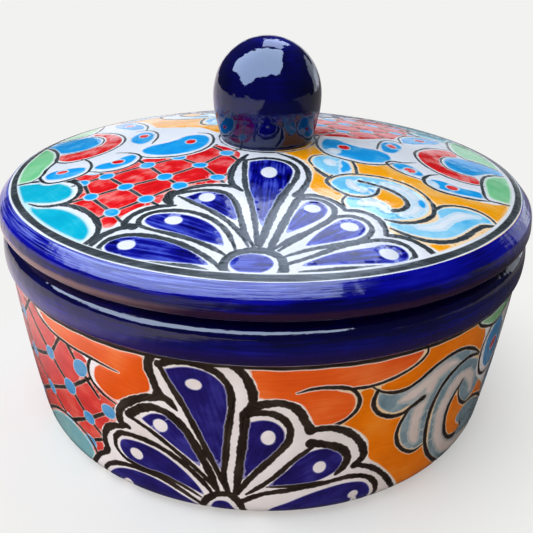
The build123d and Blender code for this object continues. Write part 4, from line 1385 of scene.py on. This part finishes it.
# %% A painted piece
def painted_piece(name, points, faces, top, sheet, palette, normals, distance, brush):
    """The mesh, with its glazes, brush places, distances to painted edges and exact normals."""
    pigments = list(palette)
    glaze_of_shape = [pigments.index(shape[0]) for shape in sheet.shapes] + [pigments.index("ground")]
    piece = new_piece(name, points, faces, [palette[p] for p in pigments])
    mesh = piece.data
    index = [glaze_of_shape[t] for t in top] + [pigments.index("ground")] * (len(faces) - len(top))
    mesh.polygons.foreach_set("material_index", index)
    mesh.polygons.foreach_set("use_smooth", [True] * len(faces))
    places = np.full((len(mesh.loops), 2), 5.0)
    places[: len(brush)] = brush
    mesh.uv_layers.new(name="brush").data.foreach_set("uv", places.ravel())
    nearness = np.full(len(points), NO_PAINT_NEAR)
    nearness[: len(distance)] = distance
    mesh.attributes.new("edge_mm", "FLOAT", "POINT").data.foreach_set("value", nearness)
    corner_normals = np.zeros((len(mesh.loops), 3))
    painted_corners = np.array([v for face in faces[: len(top)] for v in face])
    normals = normals / np.linalg.norm(normals, axis=1)[:, None]
    corner_normals[: len(painted_corners)] = normals[painted_corners]
    mesh.set_sharp_from_angle(angle=radians(SHARP_ANGLE))
    mesh.normals_split_custom_set(corner_normals)
    used = {pigments[i] for i in index}
    print(name, len(mesh.vertices), "points,", len(mesh.polygons), "faces,", len(used), "glazes")
    return piece


# %% The painted lid
UNDER_KNOB = 24              # the glaze lies flat inside this radius, where the knob is luted on


def circle(radius, count):
    """Points round a circle on the sheet."""
    t = np.linspace(0, 2 * pi, count, endpoint=False)
    return radius * np.column_stack([np.cos(t), np.sin(t)])


def on_lid(p):
    """Which places of the sheet are on the lid, outside its vent."""
    radius = np.hypot(*p.T)
    return (radius < panel_radius) & (radius > vent_radius)


def painted_lid():
    """The lid's sheet on its dome, closed into the plate."""
    borders = [circle(panel_radius, 360), circle(vent_radius, 24)]
    points, faces, top, distance, away, brush = laid_out(lid, borders, on_lid)
    rise, slope = swell(distance)
    radius = np.hypot(*points.T)
    rise[(radius > panel_radius - 1) | (radius < UNDER_KNOB)] = 0
    height = np.sqrt(dome_radius**2 - radius**2) + dome_centre
    outward = np.column_stack([points, height - dome_centre]) / dome_radius
    normals = outward - np.column_stack([away * slope[:, None], np.zeros(len(points))])
    solid = [tuple(p) for p in np.column_stack([points, height]) + outward * rise[:, None]]
    solid_faces = [tuple(int(v) for v in face) for face in faces]
    vent_loop, *_, side_loop = sorted(ordered_loops(faces), key=len)
    side = [(panel_radius, 107.5), (panel_radius, 105.4)]
    underside = under_plate(panel_radius, 30, 24)
    inner = close_ring(solid, solid_faces, side_loop, side + underside, upwards=False)
    vent_foot = under_plate(vent_radius, vent_radius, 1)
    bridge(solid, solid_faces, inner, close_ring(solid, solid_faces, vent_loop, vent_foot, upwards=False))
    paint = (top, lid, lid_palette, normals, distance, brush)
    return painted_piece("painted_lid", solid, solid_faces, *paint)


lid_piece = painted_lid()

# %% Rolling up the wall
SEAM_MM = 0.06               # points of the two ends that are closer than this are one point


def wall_border():
    """The edge of the unrolled wall, with a point for every degree at the foot and at the rim."""
    u = np.linspace(-half_turn_mm, half_turn_mm, 361)
    v = np.linspace(0, wall_length, 42)
    border = [(x, 0) for x in u] + [(half_turn_mm, y) for y in v[1:]]
    border += [(x, wall_length) for x in u[::-1][1:]] + [(-half_turn_mm, y) for y in v[::-1][1:-1]]
    return np.array(border, float)


def on_wall(p):
    """Which places of the sheet are on the wall."""
    return (abs(p[:, 0]) < half_turn_mm) & (p[:, 1] > 0) & (p[:, 1] < wall_length)


def seam_joined(points, faces):
    """The faces, with the points at the sheet's right end replaced by those that they meet on the left."""
    ends = half_turn_mm - 0.05
    left, right = ([n for n in range(len(points)) if way * points[n][0] > ends] for way in (-1, 1))
    seam = {}
    for n in right:
        nearest = min(left, key=lambda m: abs(points[m][1] - points[n][1]))
        if abs(points[nearest][1] - points[n][1]) < SEAM_MM:
            seam[n] = nearest
    print("seam:", len(seam), "of", len(right), "and", len(left), "points meet")
    return np.array([[seam.get(v, v) for v in face] for face in faces])


def rolled_up(points, distance, away):
    """Places on the round wall, with the height of the glaze, and their normals."""
    rise, slope = swell(distance)
    up = points[:, 1]
    rise[(up < 1) | (up > wall_length - 1)] = 0
    angle = points[:, 0] / degree_mm * pi / 180
    ahead = np.gradient(wall_outline, wall_run, axis=0)
    radius, height = (np.interp(up, wall_run, wall_outline[:, k])[:, None] for k in (0, 1))
    lean_r, lean_z = (np.interp(up, wall_run, ahead[:, k])[:, None] for k in (0, 1))
    size = np.hypot(lean_r, lean_z)
    out = np.column_stack([np.sin(angle), -np.cos(angle), np.zeros(len(up))])
    across = np.column_stack([np.cos(angle), np.sin(angle), np.zeros(len(up))])
    axis = np.array([0, 0, 1])
    outward = out * (lean_z / size) - axis * (lean_r / size)
    along = out * (lean_r / size) + axis * (lean_z / size)
    true_radius = radius + hand(angle, depth=0.3, phase=1.0)[:, None]
    surface = out * true_radius + axis * height + outward * rise[:, None]
    return surface, outward - slope[:, None] * (away[:, :1] * across + away[:, 1:] * along)


# %% The painted bowl
def anticlockwise(points, loop):
    """The loop, turned round if need be to go anticlockwise as seen from above."""
    steps = np.diff([angle_of(points[v]) for v in loop + loop[:1]])
    return loop if np.sum((steps + pi) % (2 * pi) - pi) > 0 else loop[::-1]


def painted_bowl():
    """The wall's sheet rolled up, closed into the whole bowl."""
    points, faces, top, distance, away, brush = laid_out(wall, [wall_border()], on_wall)
    faces = seam_joined(points, faces)
    surface, normals = rolled_up(points, distance, away)
    solid = [tuple(p) for p in surface]
    solid_faces = [tuple(int(v) for v in face) for face in faces]
    loops = sorted(ordered_loops(faces), key=lambda loop: points[loop[0]][1])
    print("open edges", [len(loop) for loop in loops])
    lower, upper = (anticlockwise(solid, loop) for loop in (loops[0], loops[-1]))
    bed_inner = (wall_top[0] - wall_thickness, wall_top[1])
    inside = bowed(bed_inner, inner_heel, 12)
    inner_heel_curve = bend(inner_heel, (103.2, 14.5), (98, bowl_floor), (bowl_floor_radius, bowl_floor), 12)
    floor_steps = [(r, bowl_floor) for r in (70, 45, 20, 0)]
    steps = [(114, wall_top[1]), *inside, *inner_heel_curve[1:], *floor_steps]
    close_ring(solid, solid_faces, upper, steps, upwards=True)
    close_ring(solid, solid_faces, lower, [(r, foot_height) for r in (99, 80, 50, 20, 0)], upwards=False)
    paint = (top, wall, wall_palette, normals, distance, brush)
    return painted_piece("painted_bowl", solid, solid_faces, *paint)


bowl_piece = painted_bowl()

# %% [markdown]
# ## The cobalt of the coils and the knob
# The rim and the edge of the lid are thick coils under a deep cobalt glaze. A brush held against the
# turning pot leaves streaks that run round them. Over the lower curve the glaze is thin and the red clay
# shows through as violet brown, which is also a painted reflection of a brown floor, paler on the left.
# A picture could be wrapped round them, but the glaze follows
# the coil itself if it is placed by how far it lies along the coil's outline, in millimetres from
# where the outline starts. Hair marks of the brush lie in its surface and break up what it mirrors.

# %% Changes round a coil
SWAY_MM, SWAY_REACH = 9, -1.2                # between the waves of a line round a coil, and their height
HAIR_MM = (24, 0.75)         # length and width of a hair mark
HAIR_SPAN = (0.46, 0.62)     # how much of the hair pattern is a mark
SHOULDER_SPAN = (5.6, 3.6)   # along the outline, from no painted sheen streaks to the most
RIGHT_TO_MIDDLE = (40 * MM, 0.0)             # the same from right to left
FRONT_TO_LEFT = (-25 * MM, -105 * MM)        # where the tint below turns from the front's brown to the left's paler painted reflection of the floor


def clay_and_floor_reflection_below(tree, tint, along, side, clay_and_reflection_tints, span):
    """Turns the tint brown over a span of the outline: thin glaze over the clay, and a painted reflection of
    a brown floor, paler on the left.
    """
    low = {"Value": along, "From Min": span[0], "From Max": span[1]}
    low = add(tree, "MapRange", low, interpolation_type="SMOOTHSTEP")
    left = {"Value": side, "From Min": FRONT_TO_LEFT[0], "From Max": FRONT_TO_LEFT[1]}
    left = add(tree, "MapRange", left)
    brown = {"Factor": left.outputs[0], MIX_A: colour(clay_and_reflection_tints[0]), MIX_B: colour(clay_and_reflection_tints[1])}
    brown = add(tree, "Mix", brown, data_type="RGBA")
    over = {"Factor": low.outputs[0], MIX_A: tint, MIX_B: brown.outputs[MIX_OUT]}
    return add(tree, "Mix", over, data_type="RGBA").outputs[MIX_OUT]


def painted_sheen_streaks(tree, tint, sheen_streak_tint, hairs, up, side):
    """Pale hair marks painted over the shoulder and the left: a painted streaky sheen where the sky's glare
    lies on the coil.
    """
    share = 0.75
    for value, span in ((hairs, HAIR_SPAN), (up, SHOULDER_SPAN), (side, RIGHT_TO_MIDDLE)):
        part = add(tree, "MapRange", {"Value": value, "From Min": span[0], "From Max": span[1]})
        share = add(tree, "Math", {0: part.outputs[0], 1: share}, operation="MULTIPLY").outputs[0]
    over = {"Factor": share, MIX_A: tint, MIX_B: colour(sheen_streak_tint)}
    return add(tree, "Mix", over, data_type="RGBA").outputs[MIX_OUT]


def lined_below(tree, tint, along):
    """A pale line and a black one under it, where the coil meets the painted wall."""
    for reach, shade in ((0.5, "#B9B2BC"), (0.05, "#241C18")):
        fade = {"Value": along, "From Min": reach - 0.1, "From Max": reach + 0.1}
        fade = add(tree, "MapRange", fade)
        over = {"Factor": fade.outputs[0], MIX_A: colour(shade), MIX_B: tint}
        tint = add(tree, "Mix", over, data_type="RGBA").outputs[MIX_OUT]
    return tint


# %% Coil glazes
COIL_POOL_MM, COIL_STREAK_MM, COIL_STREAKY = 26, 1.3, 0.55
COIL_SPREAD = 0.2
COIL_ROUGHNESS, COIL_RIPPLE_MM = 0.06, 0.4
POOL_AND_SHADE_DEPTH = 0.2          # how much deeper the colour is over its span: pooled glaze, and painted shade


def coil_glaze(name, depths, clay_and_reflection_tints, clay_and_reflection_span, pool_and_shade_span, mirror, lined=False, sheen_streak_tint=None, hairy=0.06):
    """Cobalt round a coil. Over one span of the outline it is deeper, for pooled glaze and painted shade,
    and over another it turns brown, for thin glaze and a painted reflection of the floor.
    """
    material, tree = empty_material(name)
    load = glaze_load(tree, COIL_POOL_MM, COIL_STREAK_MM, COIL_STREAKY)
    brush = add(tree, "UVMap", uv_map="brush").outputs[0]
    up = add(tree, "SeparateXYZ", {"Vector": brush}).outputs["Y"]
    place = add(tree, "TexCoord").outputs["Object"]
    side = add(tree, "SeparateXYZ", {"Vector": place}).outputs["X"]
    pool_and_shade = {"Value": up, "From Min": pool_and_shade_span[0], "From Max": pool_and_shade_span[1]}
    pool_and_shade = add(tree, "MapRange", pool_and_shade, interpolation_type="SMOOTHSTEP")
    more = {0: pool_and_shade.outputs[0], 1: POOL_AND_SHADE_DEPTH, 2: load}
    depth = add(tree, "Math", more, operation="MULTIPLY_ADD").outputs[0]
    tint = depth_colour(tree, depth, *depths, COIL_SPREAD)
    swayed = {0: pattern(tree, brush, (1 / SWAY_MM, 0.0, 0.0), 3.0), 1: SWAY_REACH, 2: up}
    along = add(tree, "Math", swayed, operation="MULTIPLY_ADD").outputs[0]
    tint = clay_and_floor_reflection_below(tree, tint, along, side, clay_and_reflection_tints, clay_and_reflection_span)
    hairs = pattern(tree, brush, (1 / HAIR_MM[0], 1 / HAIR_MM[1], 1), 3.0)
    if sheen_streak_tint:
        tint = painted_sheen_streaks(tree, tint, sheen_streak_tint, hairs, up, side)
    if lined:
        tint = lined_below(tree, tint, along)
    finished(tree, glassy(tree, tint, load, COIL_ROUGHNESS, COIL_RIPPLE_MM, mirror, hairs, hairy))
    return material


# cobalt in one even coat: a dark mirror, deeper towards its top as painted shade under the lid, with a
# violet lower edge for thin glaze and a painted reflection of the floor
rim_glaze = coil_glaze("rim_cobalt", ("#14189C", "#040560", "#020236"), ("#1A0C42", "#3A2C84"), (8.5, 3),
                       (6, 14), mirror=0.65, lined=True)
# cobalt, bright blue, with painted streaks of sheen on its shoulder, deeper below them as painted shade, and
# brown underneath for thin glaze and a painted reflection of the floor
edge_glaze = coil_glaze("edge_cobalt", ("#1218AC", "#050796", "#020244"), ("#28122E", "#9A7470"),
                        (9.4, 11.2), (5, 9.5), mirror=0.44, sheen_streak_tint="#7484DC", hairy=0.3)
# cobalt in two coats: nearly black, and so smooth that it mirrors the sky and the lid
knob_glaze = glaze("knob_double_cobalt", "#0A0A8C", "#020248", "#01011A", pool_mm=26, streak_mm=1.4,
                   streaky=0.2, roughness=0.05, ripple_mm=0.5, mirror=0.75, cool=True)
print("coats of", rim_glaze.name, edge_glaze.name, knob_glaze.name)

# %% [markdown]
# ## The rim and the edge of the lid
# Each is a rope of clay, laid on and drawn round by a wet thumb. The rim ends in the flat seat that the
# lid rests on, and the lid's edge rolls under to rest there. A torus would be too even, and a bevelled
# curve can't change its section. So both are turned from outlines of a few joined curves.

# %% Rim coil
rim_bottom = bend(wall_top, (118.47, 79.43), (119.1, 80.9), (119.3, 82.2), 8)
rim_face = bend((119.3, 82.2), (rim_radius, 84.6), (rim_radius, 87.4), (119.2, 89.6), 10)
rim_corner = bend((119.2, 89.6), (118.9, 91.9), (117.9, 92.9), (116.2, 93.7), 16)
rim_slope = bend((116.2, 93.7), (114.6, 94.5), (112.8, 95.5), (seat_radius, seat_height), 6)
rim_lip = bend((seat_inner_radius, seat_height), (108.3, 96), (mouth_radius, 95.3), (mouth_radius, 94.4), 6)
rim_back = [(mouth_radius, 81), (110.4, 79)]
rim_outline = outline(rim_bottom, rim_face, rim_corner, rim_slope, rim_lip, rim_back)
rim_piece = turned("cobalt_rim", rim_outline, rim_glaze, unevenness=0.2, phase=1.0)

# %% Edge coil of the lid
edge_start = bend((panel_radius, panel_height), (114.9, 109.88), (115.2, 109.7), (115.5, 109.4), 5)
edge_bevel = bend((115.5, 109.4), (116.6, 108.3), (117.6, 107.1), (118.6, 106), 5)
edge_corner = bend((118.6, 106), (119.4, 105.1), (119.6, 103.2), (edge_radius, edge_widest), 12)
edge_under = bend((edge_radius, edge_widest), (edge_radius, 97.6), (117.4, seat_height),
                  (edge_rest_radius, seat_height), 14)
edge_inside = [(locating_radius, seat_height), *under_plate(locating_radius, panel_radius, 6)]
edge_outline = outline(edge_start, edge_bevel, edge_corner, edge_under, edge_inside)
edge_piece = turned("cobalt_edge", edge_outline, edge_glaze, unevenness=0.15, phase=2.0)

# %% [markdown]
# ## The locating ring
# A plain ring under the lid drops inside the rim and keeps the lid in the middle. It shows only when
# the lid is lifted, so it wears the white of the lid. Its foot has the small rounding of a sponge.

# %% Locating ring
ring_top = under_plate(locating_inner, locating_radius, 6)
ring_foot = bend((locating_radius, locating_foot + 1.5), (locating_radius, locating_foot + 0.5),
                 (locating_radius - 0.5, locating_foot), (locating_radius - 1.5, locating_foot), 5)
ring_heel = bend((locating_inner + 1.5, locating_foot), (locating_inner + 0.5, locating_foot),
                 (locating_inner, locating_foot + 0.5), (locating_inner, locating_foot + 1.5), 5)
ring_outline = [*ring_top, *ring_foot, *ring_heel]
ring_piece = turned("glazed_locating_ring", ring_outline, lid_palette["ground"], phase=0.5)

# %% [markdown]
# ## The knob
# A hollow egg, thrown by itself and luted to the lid over the vent, which lets its air out in the kiln.
# It had two coats of cobalt. A sphere stretched upwards would be too sharp at the top, so its crown is
# one full curve, and a second curve draws its flank in to the lid.

# %% Knob
SECOND_COAT = 0.5            # how much the second coat of glaze adds to the knob's radius
fullness = 0.57              # of the egg's crown: 0.55 is a half ellipse, and 1 is square
crown = knob_top - knob_widest
widest = (knob_radius + SECOND_COAT, knob_widest)
hollow = knob_radius - knob_wall
hollow_foot = knob_foot - knob_wall
hollow_top = bend((0, knob_top - knob_wall), (fullness * hollow, knob_top - knob_wall),
                  (hollow, knob_widest + fullness * (crown - knob_wall)), (hollow, knob_widest), 14)
hollow_flank = bend((hollow, knob_widest), (hollow, 139.4), (17.6, 132.8),
                    (hollow_foot, dome_height(hollow_foot)), 8)
flank = bend((knob_foot, dome_height(knob_foot)), (22.8, 132.6), (widest[0], 138.4), widest, 20)
egg = bend(widest, (widest[0], knob_widest + fullness * crown), (fullness * knob_radius, knob_top),
           (0, knob_top), 30)
knob_outline = outline(hollow_top, hollow_flank, (18, dome_height(18)), flank, egg)
knob_piece = turned("cobalt_knob", knob_outline, knob_glaze, unevenness=0.3, phase=2.6, segments=240)

# %% [markdown]
# ## The foot ring
# A pot can't stand on glaze in the kiln, or it would stick. So the glaze is wiped from a low ring, and
# the bare clay shows there as a thin warm line.

# %% Foot ring
foot_inner, foot_outer = 92, 102
foot_outline = [(foot_inner, 0.2), (foot_inner + 0.3, 0), (foot_outer - 0.4, 0), (foot_outer, 0.3),
                (foot_outer, foot_height), (foot_inner, foot_height)]
foot_piece = turned("bare_foot_ring", foot_outline, wall_palette["clay"], unevenness=0.2)

# %% [markdown]
# ## What stands for what
# Each new piece hides the solid that it dresses and rides on that solid's body. Beside each stands the
# slot of the record that its finish belongs to, which nothing here reads.

# %% Bodies, nodes and slots
for piece, body, node, slot in (
    (bowl_piece, "base", "bowl_shell", "painted_tin_glaze"),
    (rim_piece, "base", "bowl_rim", "cobalt_glaze"),
    (foot_piece, "base", "foot_ring", "bare_earthenware"),
    (lid_piece, "lid", "lid_plate", "painted_tin_glaze"),
    (edge_piece, "lid", "lid_edge", "cobalt_glaze"),
    (ring_piece, "lid", "lid_locating_ring", "plain_tin_glaze"),
    (knob_piece, "lid", "lid_knob", "cobalt_glaze"),
):
    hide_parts(node)
    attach(piece, body)

# %% The scene's view
bpy.context.scene.view_settings.view_transform = "Standard"
